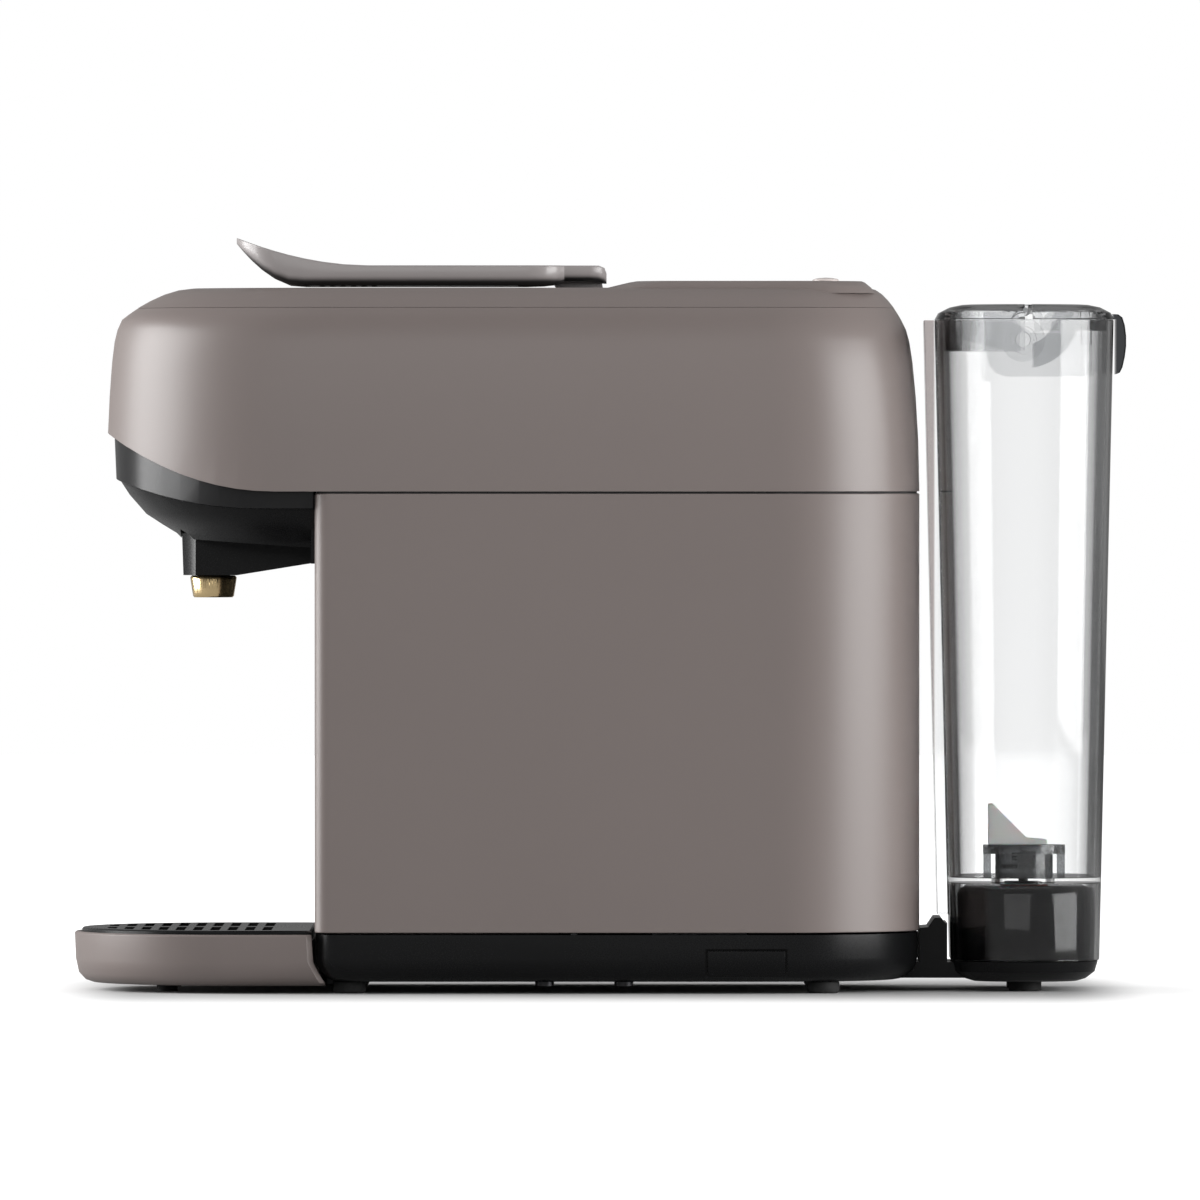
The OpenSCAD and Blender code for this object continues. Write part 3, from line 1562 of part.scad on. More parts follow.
module tank_lid() {
  color("#dfe6ea80") {
    difference() {
      union() {
        lid_dome(0);
        lid_plug(11.8);
      }
      lid_hollow();
      block([flap_x - 0.3, -tank_width, tank_top - 40], [tank_x + 60, tank_width, tank_top + 20]);
      rod_y(flap_x, flap_z, barrel_r + SLIDE, -barrel_half - SLIDE, barrel_half + SLIDE);
      block([flap_x - barrel_r - SLIDE, -barrel_half - SLIDE, flap_z],
        [flap_x + 1, barrel_half + SLIDE, flap_z + 9]);
      rod_y(flap_x, flap_z, 1 + RUN, -tank_width, tank_width);
    }
    // ears that hold the flap's pin
    both_sides()
      difference() {
        rod_y(flap_x, flap_z, barrel_r, barrel_half + SLIDE, barrel_half + SLIDE + 3);
        rod_y(flap_x, flap_z, 1 + RUN, barrel_half - 1, barrel_half + 6);
      }
    // middle rib with its ring boss
    difference() {
      union() {
        across(2.4)
          polygon([
            [flap_x - 7, boss_z - 4], [flap_x, boss_z - 4], [flap_x, boss_z + 4],
            [flap_x - barrel_r - 1.6, boss_z + 7], [flap_x - barrel_r - 1.6, flap_z + 1.2],
            [tank_x - tank_length / 2 + 14, flap_z + 1.2],
            [tank_x - tank_length / 2 + 4.4, flap_z - 10]]);
        rod_y(flap_x, boss_z, 8.4, -1.6, 1.6);
        rod_y(flap_x, boss_z, 5.2, -6, 6);
      }
      rod_y(flap_x, boss_z, 2.9, -9, 9);
    }
    // guards beside the mouth
    both_sides()
      across(1.6, 25)
        polygon([
          [guard_x, flap_z + 1.4], [flap_x - 3.3, flap_z + 1.4], [flap_x - 3.3, boss_z + 6.6],
          [flap_x + 2.5, guard_top], [guard_back, guard_top], [guard_back, guard_low + 2.6],
          [guard_back - 2.6, guard_low], [guard_x + 9, guard_low], [guard_x + 5, guard_low + 1.4],
          [guard_x + 2.4, guard_low + 4.6], [guard_x + 1.6, guard_low + 9.6],
          [guard_x, guard_low + 9.6]]);
  }
}

boss_z = flap_z - 11;
guard_x = flap_x - 15.5;
guard_back = tank_x + 28;
guard_top = tank_top - 4.8;
guard_low = tank_top - 21.4;

module filler_flap() {
  edge = flap_x + barrel_r + SLIDE;
  tab_x = tank_x + tank_length / 2 + 0.6;
  tab_back = tab_x + 4.4;
  color("#dfe6ea80")
    difference() {
      union() {
        difference() {
          union() {
            lid_dome(0);
            intersection() {
              lid_plug(4);
              block([edge + 3, -tank_width, tank_top - 20],
                [tank_x + 60, tank_width, tank_top + 1]);
            }
          }
          lid_hollow();
          block([tank_x - 60, -tank_width, tank_top - 40], [edge, tank_width, tank_top + 20]);
        }
        // barrel round the pin, and the web that joins it to the flap
        rod_y(flap_x, flap_z, barrel_r, -barrel_half, barrel_half);
        block([flap_x, -barrel_half, flap_z + 0.5], [edge + 1, barrel_half, flap_z + barrel_r]);
        // curved ribs under the flap
        for (y = [-18, -11, 11, 18])
          intersection() {
            across(1.6, y)
              difference() {
                translate([flap_x, flap_z])
                  circle(r = 22);
                translate([flap_x, flap_z])
                  circle(r = 13);
              }
            block([flap_x + 4, -30, flap_z - 30], [tank_x + 40, 30, flap_z + 1.2]);
          }
        // latch tongue inside the tank's back wall
        block([tab_x - 12, -6, boss_z - 2], [tab_x - 8, 6, flap_z + 1]);
        // thumb tab with a bowed back
        across(26)
          polygon([
            [tab_x - 3, tank_top + 0.4], [tab_x - 3, tank_top + 2.4],
            [tab_back - 3, tank_top + 2.2], [tab_back - 1.4, tank_top + 1],
            [tab_back - 0.5, tank_top - 2], [tab_back, tank_top - 6],
            [tab_back, tank_top - 10], [tab_back - 0.5, tank_top - 14],
            [tab_back - 1.4, tank_top - 18], [tab_back - 2.4, tank_top - 20],
            [tab_x + 0.6, tank_top - 20.6], [tab_x + 0.6, tank_top + 0.4]]);
      }
      rod_y(flap_x, flap_z, 1 + RUN, -tank_width, tank_width);
    }
}

module flap_pin() {
  end = barrel_half + SLIDE + 3;
  color("#b9bcc0")
    rod_y(flap_x, flap_z, 1, -end, end);
}

collar_z = tank_floor + tank_floor_plate;
collar_height = 12;
collar_band = 3.4;

module valve_collar() {
  color("#cfd6da")
    translate([tank_x, 0, collar_z]) {
      difference() {
        union() {
          cylinder(r = 11.2, h = collar_height - collar_band + EPS);
          translate([0, 0, collar_height - collar_band])
            cylinder(r = 16, h = collar_band);
          for (turn = [0 : 90 : 270])
            rotate([0, 0, turn])
              translate([12.8, -3, 0])
                cube([3, 6, collar_height - 1]);
        }
        translate([0, 0, -1])
          cylinder(r = 9.8, h = collar_height + 2);
      }
      // bar that guides the valve's stem
      difference() {
        translate([-11, -3, collar_height - 2])
          cube([22, 6, 2]);
        translate([0, 0, collar_height - 3])
          cylinder(r = 1.6 + 0.2, h = 4);
      }
    }
}

module tank_filter() {
  z0 = collar_z + collar_height + FIT;
  x0 = tank_x - 14;
  color("#e6e2d4")
    difference() {
      across(24)
        polygon([
          [x0, z0], [x0, z0 + 15.4], [x0 + 2, z0 + 15.4], [x0 + 15.2, z0 + 2.4],
          [x0 + 22.6, z0 + 1.8], [x0 + 22.6, z0]]);
      block([x0 + 4, -8, z0 - 1], [x0 + 12, 8, z0 + 3]);
    }
}

module tank_valve() {
  color("#474a4d")
    translate([tank_x, 0, valve_rest_z])
      rotate_extrude()
        polygon([[0, 0], [9, 0], [9, 1.6], [3, 2], [1.6, 2.4], [1.6, 7.6], [0, 7.6]]);
}

module valve_spring() {
  turns = 3;
  wire = 0.5;
  coil = 4.4;
  z0 = valve_rest_z + 2.2;
  z1 = collar_z + collar_height - 2.2;
  color("silver")
    translate([tank_x, 0, 0])
      hose([for (k = [0 : 20 * turns])
        let (a = 18 * k, share = k / (20 * turns))
          [coil * cos(a), coil * sin(a), z0 + wire + (z1 - z0 - 2 * wire) * share]],
        wire, 1, 6, [0, 0, 1]);
}

// ---------------------------------------------------------------- assembly

lower_housing();
upper_housing();
top_cover();
base_pan();
side_covers();
feet();
base_screws();
cord_inlet();
chin_band();
chin_bottom();
spout_housing();
spout_nozzle();
coffee_duct();
chassis();
brew_frame();
piercing_plate();
pod_funnel();
thermoblock();
heater();
pump();
pump_mounts();
flow_meter();
suction_hose();
pressure_hose();
pipe_sleeve();
control_board();
button_board();
indicator_window();
tank_holder();
tank_plinth();
tank_socket();
socket_seal();
lever();
lever_liner();
lever_shaft();
lever_sectors();
idler_pinions();
brew_carriage();
water_pipe();
pod_cage();
cage_seal();
cage_needles();
drip_tray();
drip_grid();
tray_foot();
pod_container();
front_panel();
tank_shell();
tank_lid();
filler_flap();
flap_pin();
valve_collar();
tank_filter();
tank_valve();
valve_spring();
espresso_button();
lungo_button();
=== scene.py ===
import json
import math

import bmesh
import bpy
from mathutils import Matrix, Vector

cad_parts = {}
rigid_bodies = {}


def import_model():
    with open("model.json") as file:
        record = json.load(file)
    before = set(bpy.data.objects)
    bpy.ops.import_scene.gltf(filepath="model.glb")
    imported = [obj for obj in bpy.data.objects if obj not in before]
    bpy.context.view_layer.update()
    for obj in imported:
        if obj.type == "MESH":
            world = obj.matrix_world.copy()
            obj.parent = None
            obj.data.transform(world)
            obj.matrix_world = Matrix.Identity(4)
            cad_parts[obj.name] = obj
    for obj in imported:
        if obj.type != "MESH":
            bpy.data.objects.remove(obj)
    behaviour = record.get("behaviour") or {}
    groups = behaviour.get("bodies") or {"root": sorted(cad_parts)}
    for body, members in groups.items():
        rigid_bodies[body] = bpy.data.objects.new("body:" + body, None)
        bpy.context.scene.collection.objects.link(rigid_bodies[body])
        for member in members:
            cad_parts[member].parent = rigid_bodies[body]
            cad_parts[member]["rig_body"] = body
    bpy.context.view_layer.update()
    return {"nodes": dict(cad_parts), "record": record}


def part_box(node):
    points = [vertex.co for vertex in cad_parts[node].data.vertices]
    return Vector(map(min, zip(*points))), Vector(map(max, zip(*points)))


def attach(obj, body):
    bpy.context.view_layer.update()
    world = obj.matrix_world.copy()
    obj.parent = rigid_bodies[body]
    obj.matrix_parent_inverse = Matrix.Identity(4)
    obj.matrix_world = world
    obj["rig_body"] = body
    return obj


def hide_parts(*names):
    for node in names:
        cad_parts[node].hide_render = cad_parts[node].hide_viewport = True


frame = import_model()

MM = 0.001
nodes = frame["nodes"]


# ---------------------------------------------------------------- nets of nodes

MIX_SHARE, MIX_ONE, MIX_OTHER, MIX_COLOUR = 0, 6, 7, 2    # a colour Mix node's sockets


class Value:
    """One socket of a net of nodes that can stand in an expression."""

    def __init__(self, net, socket):
        self.net, self.socket = net, socket

    def _maths(self, operation, *terms):
        return self.net.node("Math", {"operation": operation}, dict(enumerate(terms)))["Value"]

    def __add__(self, other):
        return self._maths("ADD", self, other)

    def __sub__(self, other):
        return self._maths("SUBTRACT", self, other)

    def __rsub__(self, other):
        return self._maths("SUBTRACT", other, self)

    def __mul__(self, other):
        return self._maths("MULTIPLY", self, other)

    def __pow__(self, other):
        return self._maths("POWER", self, other)

    def __rpow__(self, other):
        return self._maths("POWER", other, self)

    __radd__, __rmul__ = __add__, __mul__

    def above(self, edge, width):
        """0 below the edge, 1 above it, with a soft step of that width."""
        low, high = edge - width / 2, edge + width / 2
        return self.net.node("MapRange", {"interpolation_type": "SMOOTHSTEP"}, {
            "Value": self, "From Min": low, "From Max": high})["Result"]


class Made:
    """A node that has been added to a net; its outputs are looked up by name or number."""

    def __init__(self, net, node):
        self.net, self.node = net, node

    def __getitem__(self, output):
        return Value(self.net, self.node.outputs[output])


class Net:
    """The nodes of a material or a world, added one at a time."""

    def __init__(self, owner):
        owner.use_nodes = True
        self.tree = owner.node_tree
        self.tree.nodes.clear()

    def set(self, node, values):
        """Links or sets a node's sockets; a colour may be written without its alpha."""
        for key, value in values.items():
            target = node.inputs[key]
            if isinstance(value, Value):
                self.tree.links.new(value.socket, target)
            elif target.type == "RGBA" and len(value) == 3:
                target.default_value = (*value, 1)
            else:
                target.default_value = value

    def node(self, kind, settings=None, values=None):
        """Adds a node of a type, with its settings first and then its sockets' values or links."""
        made = self.tree.nodes.new("ShaderNode" + kind)
        for key, value in (settings or {}).items():
            setattr(made, key, value)
        self.set(made, values or {})
        return Made(self, made)

    def vector(self, operation, *terms):
        """A Vector Math node on its terms."""
        return self.node("VectorMath", {"operation": operation}, dict(enumerate(terms)))

    def blend(self, share, one, other):
        """A colour that runs from one to the other by a share."""
        return self.node("Mix", {"data_type": "RGBA"}, {
            MIX_SHARE: share, MIX_ONE: one, MIX_OTHER: other})[MIX_COLOUR]

    def seen_straight(self):
        """1 for a ray that sees a thing from the camera, straight or through clear plastic."""
        ray = self.node("LightPath")
        turned = self.node("Math", {"operation": "ADD", "use_clamp": True}, {
            0: ray["Glossy Depth"], 1: ray["Diffuse Depth"]})["Value"]
        return self.node("Math", {"operation": "MAXIMUM"}, {
            0: ray["Is Camera Ray"], 1: ray["Is Transmission Ray"] * (1 - turned)})["Value"]


class Finish(Net):
    """A material built node by node around one Principled shader."""

    def __init__(self, name, **constants):
        self.material = bpy.data.materials.new(name)
        super().__init__(self.material)
        shader = self.node("BsdfPrincipled")
        self.shader = shader.node
        self.node("OutputMaterial", None, {"Surface": shader["BSDF"]})
        self.give(**constants)

    def give(self, **values):
        """Links or sets the shader's sockets, with _ for the spaces in their names."""
        self.set(self.shader, {key.replace("_", " "): value for key, value in values.items()})

    def place(self, stretch=(1, 1, 1), turn=(0, 0, 0)):
        """Object coordinates, stretched and turned."""
        at = self.node("TexCoord")["Object"]
        return self.node("Mapping", None, {
            "Vector": at, "Scale": stretch, "Rotation": turn})["Vector"]

    def noise(self, size, detail, at=None):
        """Cloudy noise whose blots are about one size across, in metres."""
        return self.node("TexNoise", None, {
            "Vector": at or self.place(), "Scale": 1 / size, "Detail": detail})["Fac"]

    def colour(self, share, one, other):
        """The shader's colour runs from one to the other by a share."""
        self.give(Base_Color=self.blend(share, one, other))

    def tones(self, share, colour, darkest, lightest):
        """The shader's colour runs from a darker to a lighter tone of one colour."""
        self.colour(share, *[tuple(part * factor for part in colour)
                             for factor in (darkest, lightest)])

    def turn_to(self, share, other):
        """The colour that the shader has so far gives way to another by a share."""
        so_far = Value(self, self.shader.inputs["Base Color"].links[0].from_socket)
        self.colour(share, so_far, other)

    def bump(self, height, depth, strength):
        """Raises the surface by a height from 0 to 1, times a depth in metres."""
        self.give(Normal=self.node("Bump", None, {
            "Height": height, "Distance": depth, "Strength": strength})["Normal"])


# ---------------------------------------------------------------- finishes

def moulding(name, colour, gloss, drift=0.04, **constants):
    """Moulded plastic: a fine spark-eroded grain and a slow drift of tone."""
    finish = Finish(name, **constants)
    cloud = finish.noise(90 * MM, detail=2)
    grain = finish.noise(0.35 * MM, detail=1)
    finish.tones(cloud * 0.7 + grain * 0.3, colour, 1 - drift, 1 + drift)
    finish.give(Roughness=cloud * 0.06 + grain * 0.04 + (gloss - 0.05))
    finish.bump(grain, depth=0.02 * MM, strength=0.6)
    return finish.material


def polished(name, colour, gloss, **constants):
    """Glossy plastic: long soft waves from the mould and the odd hair scratch."""
    finish = Finish(name, **constants)
    wave = finish.noise(38 * MM, detail=1)
    along = finish.place(stretch=(0.02, 1, 1), turn=(0.3, 0.2, 0.5))
    scratch = finish.noise(0.5 * MM, detail=1, at=along).above(0.66, 0.1)
    finish.tones(wave, colour, 0.93, 1.07)
    finish.give(Roughness=scratch * 0.08 + wave * 0.03 + gloss)
    finish.bump(wave, depth=0.06 * MM, strength=0.35)
    return finish.material


def lacquer(name, colour, under, gloss, **constants):
    """Satin lacquer with a polish, with a painted shade that turns every face that looks down
    nearly black.
    """
    finish = Finish(name, **constants)
    cloud = finish.noise(60 * MM, detail=2)
    finish.tones(cloud, colour, 0.95, 1.05)
    normal = finish.node("NewGeometry")["Normal"]
    # Painted shade: faces that look down take the dark colour under, by how far they turn down.
    painted_underside_shade = finish.node("SeparateXYZ", None, {0: normal})["Z"] * -1
    finish.turn_to(painted_underside_shade.above(0.42, 0.5), under)
    finish.give(Roughness=cloud * 0.04 + gloss)
    finish.bump(finish.noise(0.5 * MM, detail=1), depth=0.008 * MM, strength=0.4)
    return finish.material


def metal(name, colour, gloss, turned=False, depth=0.01 * MM):
    """Metal with a brushed or a turned surface."""
    finish = Finish(name, Metallic=1.0)
    stretch = (0.04, 0.04, 1) if turned else (0.05, 1, 1)
    lines = finish.noise(0.35 * MM, detail=2, at=finish.place(stretch))
    stain = finish.noise(16 * MM, detail=2)
    finish.tones(stain, colour, 0.9, 1.04)
    finish.give(Roughness=lines * 0.14 + (gloss - 0.07))
    finish.bump(lines, depth, strength=0.5)
    return finish.material


def clear(name, face, edge, gloss, sharp, ior=1.45, weight=1.0, tint=None):
    """Clear moulded plastic: pale where one looks straight through, darker along its edges.

    A tint is a colour, a place along x, and 1 where the plastic has that colour past the
    place or -1 where it has it before the place."""
    finish = Finish(name, Transmission_Weight=weight, IOR=ior)
    flow = finish.noise(26 * MM, detail=1, at=finish.place(stretch=(1, 1, 0.2)))
    facing = finish.node("LayerWeight", None, {"Blend": 0.5})["Facing"]
    finish.colour(facing ** sharp, face, edge)
    if tint:
        other, start, side = tint
        along = finish.node("SeparateXYZ", None, {0: finish.place()})["X"] * side
        finish.turn_to(along.above(start * side, 0.6 * MM), other)
    finish.give(Roughness=flow * 0.02 + gloss)
    finish.bump(flow, depth=0.03 * MM, strength=0.15)
    return finish.material


def soft_rubber(name, colour):
    """Matt rubber with a fine tooth and a little pale dust."""
    finish = Finish(name)
    dust = finish.noise(3 * MM, detail=3)
    finish.tones(dust.above(0.6, 0.3), colour, 1, 1.8)
    finish.give(Roughness=dust * 0.15 + 0.7)
    finish.bump(finish.noise(0.4 * MM, detail=2), depth=0.03 * MM, strength=0.7)
    return finish.material


def circuit(name):
    """Solder mask with the lighter net of tracks under it."""
    finish = Finish(name, Roughness=0.3)
    cells = finish.node("TexVoronoi", {"distance": "CHEBYCHEV", "feature": "F1"}, {
        "Vector": finish.place(), "Scale": 1 / (3 * MM)})["Distance"]
    tracks = cells.above(0.42, 0.06)
    finish.colour(tracks, (0.012, 0.10, 0.035), (0.03, 0.19, 0.07))
    finish.bump(tracks, depth=0.03 * MM, strength=0.4)
    return finish.material


TAUPE = (0.205, 0.172, 0.162)
BLACK = (0.006, 0.0062, 0.0066)
TAB_START = 195.8 * MM          # where the flap's dark thumb tab begins, along x
RIBS_END = 127.6 * MM           # where the ribs on the tank's front end, along x
LID_CLEAR = clear("lid_clear", (0.88, 0.883, 0.886), (0.10, 0.103, 0.107), gloss=0.03, sharp=1.3,
                  ior=1.18, tint=((0.05, 0.052, 0.055), TAB_START, 1))

FINISHES = {
    "taupe_plastic": moulding("taupe", TAUPE, gloss=0.40),
    # The lever's under colour is painted shade on its downward faces.
    "lever_plastic": lacquer("lever_gloss", (0.33, 0.304, 0.3), under=(0.015, 0.015, 0.015),
                             gloss=0.32, Coat_Weight=0.15, Coat_Roughness=0.12),
    "dark_gloss": polished("dark_gloss", (0.006, 0.006, 0.0065), gloss=0.07,
                           Specular_IOR_Level=0.3),
    "black_plastic": moulding("black", BLACK, gloss=0.27, drift=0.15, Specular_IOR_Level=0.2),
    "grey_band": moulding("grey_satin", (0.013, 0.013, 0.0135), gloss=0.25, drift=0.1,
                          Specular_IOR_Level=0.25),
    "brass_nozzle": metal("champagne_brass", (0.92, 0.70, 0.38), gloss=0.2, turned=True,
                          depth=0.003 * MM),
    "clear_plastic": clear("clear", (0.955, 0.958, 0.96), (0.02, 0.021, 0.023), gloss=0.02,
                           sharp=1.4, ior=1.3, tint=((0.66, 0.63, 0.625), RIBS_END, -1)),
    "valve_plastic": polished("valve_dark", (0.05, 0.052, 0.055), gloss=0.2),
    "collar_plastic": clear("smoky", (0.30, 0.31, 0.32), (0.04, 0.042, 0.044), gloss=0.06,
                            sharp=1.5, weight=0.8),
    "filter_plastic": moulding("filter_white", (0.74, 0.74, 0.72), gloss=0.35, drift=0.02,
                               Subsurface_Weight=0.35, Subsurface_Scale=4 * MM),
    "button_plastic": polished("button_white", (0.80, 0.72, 0.69), gloss=0.16),
    "window_plastic": moulding("frosted", (0.72, 0.70, 0.69), gloss=0.3, drift=0.02),
    "foot_rubber": soft_rubber("rubber", (0.012, 0.012, 0.012)),
    "steel": metal("steel", (0.56, 0.57, 0.58), gloss=0.3),
    "black_steel": metal("blackened_steel", (0.035, 0.035, 0.037), gloss=0.36),
    "aluminium": metal("cast_aluminium", (0.62, 0.63, 0.64), gloss=0.48),
    "grey_plastic": moulding("grey", (0.16, 0.165, 0.17), gloss=0.5),
    "gear_plastic": moulding("acetal", (0.62, 0.60, 0.54), gloss=0.42, drift=0.03),
    "silicone": soft_rubber("silicone", (0.42, 0.40, 0.35)),
    "seal_rubber": soft_rubber("seal", (0.16, 0.03, 0.02)),
    "board": circuit("board"),
}
slot_of = {part["node"]: part["material_slot"] for part in frame["record"]["subparts"]}

finish_of = {name: FINISHES[slot] for name, slot in slot_of.items()}
finish_of["tank_lid"] = finish_of["filler_flap"] = LID_CLEAR

for name, node in nodes.items():
    node.data.materials.clear()
    node.data.materials.append(finish_of[name])


# ---------------------------------------------------------------- pieces

def into_scene(name, data):
    """Puts a new object that shows some data into the scene."""
    thing = bpy.data.objects.new(name, data)
    bpy.context.scene.collection.objects.link(thing)
    return thing


def as_object(shape, name, finish):
    """Turns a bmesh into an object with a finish."""
    mesh = bpy.data.meshes.new(name)
    shape.to_mesh(mesh)
    shape.free()
    mesh.materials.append(finish)
    return into_scene(name, mesh)


def as_piece(shape, name, slot, body, finish=None):
    """Turns a bmesh into a piece that rides on a body and takes its finish from a slot."""
    piece = as_object(shape, name, finish or FINISHES[slot])
    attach(piece, body)
    return piece


def soften(piece, width, angle):
    """Rounds every edge past an angle a little, as a mould does."""
    bevel = piece.modifiers.new("edges", "BEVEL")
    bevel.width, bevel.segments = width, 2
    bevel.limit_method, bevel.angle_limit = "ANGLE", angle
    bevel.harden_normals = True
    bevel.use_clamp_overlap = True


# How far the edges of each part that gets a skin are rounded, in millimetres.
EDGES = {
    "upper_housing": 0.2, "lower_housing": 0.4, "top_cover": 0.1, "base_pan": 0.4,
    "side_covers": 0.3, "feet": 0.5, "chin_band": 0.3, "chin_bottom": 0.3, "spout_housing": 0.6,
    "spout_nozzle": 0.15, "tank_holder": 0.5, "tank_plinth": 0.5, "lever": 0.5,
    "lever_liner": 0.3, "drip_tray": 0.4, "drip_grid": 0.3, "front_panel": 0.3,
    "tank_shell": 0.3, "tank_lid": 0, "filler_flap": 0, "valve_collar": 0.2, "tank_filter": 0.3,
    "espresso_button": 0.2, "lungo_button": 0.2, "indicator_window": 0.15, "tank_valve": 0.15,
    "tank_socket": 0, "pod_container": 0.4,
}
CLEAR_PARTS = ("tank_shell", "tank_lid", "filler_flap", "valve_collar")
DOUBLE = 0.002 * MM             # corners closer than this are one corner
FLAT = math.radians(0.6)        # faces that meet at less than this become one face
SLIVER = {"tank_holder": 0.2}   # millimetres; thinner slivers are closed up
USUAL_SLIVER = 0.02
CREASE = {"spout_nozzle": 50}   # degrees; edges past this stay sharp
USUAL_CREASE = 34


def skin(node, edge):
    """A merged copy of a CAD part with smooth curves and softened edges, shown in its place."""
    crease = math.radians(CREASE.get(node, USUAL_CREASE))
    shape = bmesh.new()
    shape.from_mesh(nodes[node].data)
    bmesh.ops.remove_doubles(shape, verts=shape.verts, dist=DOUBLE)
    bmesh.ops.dissolve_degenerate(shape, dist=SLIVER.get(node, USUAL_SLIVER) * MM,
                                  edges=shape.edges)
    if node not in CLEAR_PARTS:
        bmesh.ops.dissolve_limit(shape, angle_limit=FLAT, verts=shape.verts, edges=shape.edges)
    for face in shape.faces:
        face.smooth = True
    for line in shape.edges:
        line.smooth = len(line.link_faces) == 2 and line.calc_face_angle() < crease
    piece = as_piece(shape, node + "_skin", slot_of[node], nodes[node]["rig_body"],
                     finish_of[node])
    if edge:
        soften(piece, edge, crease)
    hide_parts(node)
    return piece


def settle(piece, height, drop):
    """Lets what is lower than a height in a piece down a little, to close a seam."""
    for vertex in piece.data.vertices:
        if vertex.co.z < height:
            vertex.co.z -= drop


def round_off(shape, geom, affect, radius, segments):
    """Rounds corners or edges of a shape to a radius."""
    bmesh.ops.bevel(shape, geom=geom, offset=radius, offset_type="OFFSET", affect=affect,
                    segments=segments, profile=0.5, material=-1)


def rounded_ring(low, high, radii, wall):
    """A flat oblong ring that fills a box, with a radius for its corners at each end of x."""
    shape = bmesh.new()
    (x0, y0, bottom), (x1, y1, top) = low, high
    outline = [shape.verts.new((x, y, top)) for x, y in ((x0, y0), (x1, y0), (x1, y1), (x0, y1))]
    shape.faces.new(outline)
    for end, radius in zip((x0, x1), radii):
        corners = [v for v in shape.verts if abs(v.co.x - end) < 0.1 * MM]
        round_off(shape, corners, "VERTICES", radius, segments=12)
    rim = bmesh.ops.inset_region(shape, faces=shape.faces[:], thickness=wall,
                                 use_boundary=True, use_even_offset=True)
    middle = [face for face in shape.faces if face not in rim["faces"]]
    bmesh.ops.delete(shape, geom=middle, context="FACES")
    bmesh.ops.solidify(shape, geom=shape.faces[:], thickness=bottom - top)
    bmesh.ops.recalc_face_normals(shape, faces=shape.faces[:])
    levels = [vertex.co.z for vertex in shape.verts]
    lift = (bottom + top - min(levels) - max(levels)) / 2
    bmesh.ops.translate(shape, verts=shape.verts, vec=(0, 0, lift))
    return shape


def seam_shade_strip():
    """A dark strip in the seam between the column and the head, standing in for the shade in that
    seam.
    """
    inset, gap, wall = 0.9 * MM, 0.06 * MM, 1.2 * MM
    front_radius, back_radius = 5 * MM, 53 * MM
    low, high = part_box("lower_housing")
    bottom, top = high[2] + gap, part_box("upper_housing")[0][2] - gap
    shape = rounded_ring((low[0] + inset, low[1] + inset, bottom),
                         (high[0] - inset, high[1] - inset, top),
                         (front_radius, back_radius), wall)
    as_piece(shape, "seam_shade_strip", "foot_rubber", nodes["lower_housing"]["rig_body"])


def gap_shade_block():
    """A black block under the front of the base, behind the foot of the drip tray, standing in for
    the shade in the gap there.
    """
    front, back, half_width = -104.4 * MM, -94 * MM, 52 * MM
    bottom, top = 2.4 * MM, 6.9 * MM
    shape = bmesh.new()
    bmesh.ops.create_cube(shape, size=1)
    bmesh.ops.scale(shape, verts=shape.verts, vec=(back - front, 2 * half_width, top - bottom))
    bmesh.ops.translate(shape, verts=shape.verts, vec=((front + back) / 2, 0, (bottom + top) / 2))
    round_off(shape, shape.edges[:], "EDGES", 0.9 * MM, segments=3)
    as_piece(shape, "gap_shade_block", "black_plastic", nodes["base_pan"]["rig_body"])


skins = {node: skin(node, edge * MM) for node, edge in EDGES.items()}
settle(skins["top_cover"], height=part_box("top_cover")[0][2] + 0.3 * MM, drop=0.2 * MM)
seam_shade_strip()
gap_shade_block()


# ---------------------------------------------------------------- studio

SOFT_LIGHT = 0.3                # the world's level on the object
FLOOR_BOUNCE = (0.42, 0.42, 0.42)
FLOOR_SEEN = (0.56, 0.56, 0.56)
FOOTPRINT = (0.17, 0.04, 0)     # half the patch of floor with no glow, where the real shadow and a painted shade stay dark
SIDE_FADE = (5, 1, 1)           # the painted shade fades out sooner past the ends than past the sides

# The steps in which the floor turns white, leaving a painted shade near the object: how far out,
# how wide, and by what share.
FLOOR_STEPS = ((0.12, 0.18, 0.6), (0.4, 0.5, 0.4))

# Each soft box: its place, what it is turned to, its width and height, and its power.
LAMPS = {
    "key": ((-0.5, -2.4, 0.95), (0, 0, 0.14), (2.0, 1.1), 10.5),
    "front_edge": ((-2.1, 0.3, 0.68), (-0.1, 0, 0.15), (1.7, 1.5), 68),
    "back_edge": ((1.75, -0.6, 0.45), (0.1, 0, 0.15), (1.4, 0.9), 35),
    "top": ((0, 0.5, 2.1), (0, 0, 0.2), (1.6, 1.0), 1.5),
}

AIM = Vector((0, 0, 148.6 * MM))
EYE = Vector((0, -8, 208 * MM))
FRAME_WIDTH = 458.3 * MM        # what the camera sees from side to side at its aim
SENSOR = 36                     # the camera's width of film, in millimetres
CLEAR_WALLS = 28                # light passes this many clear walls, for the layers in the lid


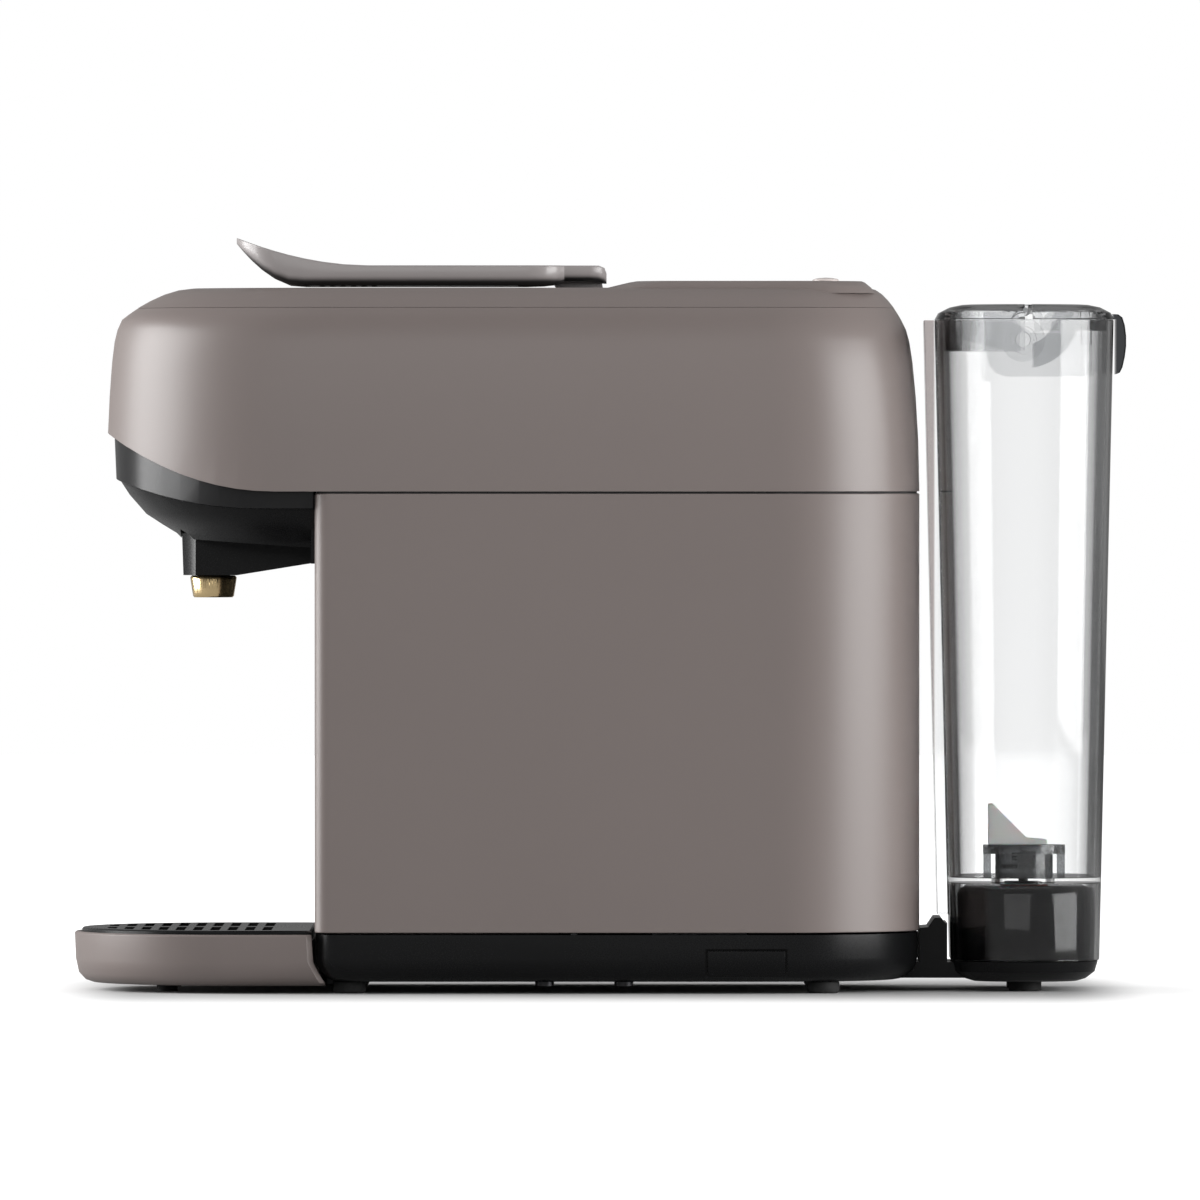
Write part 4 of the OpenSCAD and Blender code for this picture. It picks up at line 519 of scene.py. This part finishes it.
def studio_floor():
    """A pale floor that holds the object's real shadow and a painted shade near it, and is plain
    white farther away.
    """
    shape = bmesh.new()
    bmesh.ops.create_grid(shape, x_segments=1, y_segments=1, size=6)
    finish = Finish("floor", Roughness=0.9, Specular_IOR_Level=0.1, Emission_Strength=1.0)
    seen = finish.seen_straight()
    finish.colour(seen, FLOOR_BOUNCE, FLOOR_SEEN)
    from_middle = finish.vector("ABSOLUTE", finish.place())["Vector"]
    past = finish.vector("SUBTRACT", from_middle, FOOTPRINT)["Vector"]
    past = finish.vector("MAXIMUM", past, (0, 0, 0))["Vector"]
    away = finish.vector("LENGTH", finish.vector("MULTIPLY", past, SIDE_FADE)["Vector"])["Value"]
    near, far = [away.above(edge, width) * share for edge, width, share in FLOOR_STEPS]
    # Painted shade: the floor's glow is held back near the object, so it stays darker there than
    # its light alone makes it.
    finish.give(Emission_Color=finish.blend(seen * (near + far), (0, 0, 0), (1, 1, 1)))
    as_object(shape, "floor", finish.material)


def studio_world():
    """Even soft light, with a plain white backdrop for the rays that see it straight or through."""
    world = bpy.data.worlds.new("studio")
    bpy.context.scene.world = world
    sky = Net(world)
    soft, backdrop = [sky.node("Background", None, {"Color": (1, 1, 1), "Strength": strength})
                      for strength in (SOFT_LIGHT, 1.0)]
    mixed = sky.node("MixShader", None, {
        0: sky.seen_straight(), 1: soft["Background"], 2: backdrop["Background"]})
    sky.node("OutputWorld", None, {"Surface": mixed["Shader"]})


def point(thing, place, aim):
    """Stands a lamp or a camera at a place and turns it to its aim."""
    thing.location = place
    thing.rotation_euler = (Vector(aim) - Vector(place)).to_track_quat("-Z", "Y").to_euler()


def lamp(name, place, aim, size, power):
    """A rectangular soft box."""
    light = bpy.data.lights.new(name, "AREA")
    light.shape, (light.size, light.size_y) = "RECTANGLE", size
    light.energy = power
    point(into_scene(name, light), place, aim)


def studio_camera():
    """A long lens from the side, a little above the middle of the object."""
    data = bpy.data.cameras.new("camera")
    data.sensor_width = SENSOR
    data.lens = SENSOR * (AIM - EYE).length / FRAME_WIDTH
    data.clip_start, data.clip_end = 0.05, 40
    camera = into_scene("camera", data)
    point(camera, EYE, AIM)
    bpy.context.scene.camera = camera


studio_floor()
studio_world()
for name, setting in LAMPS.items():
    lamp(name, *setting)
studio_camera()
bpy.context.scene.view_settings.view_transform = "Standard"
bpy.context.scene.cycles.max_bounces = CLEAR_WALLS
bpy.context.scene.cycles.transmission_bounces = CLEAR_WALLS
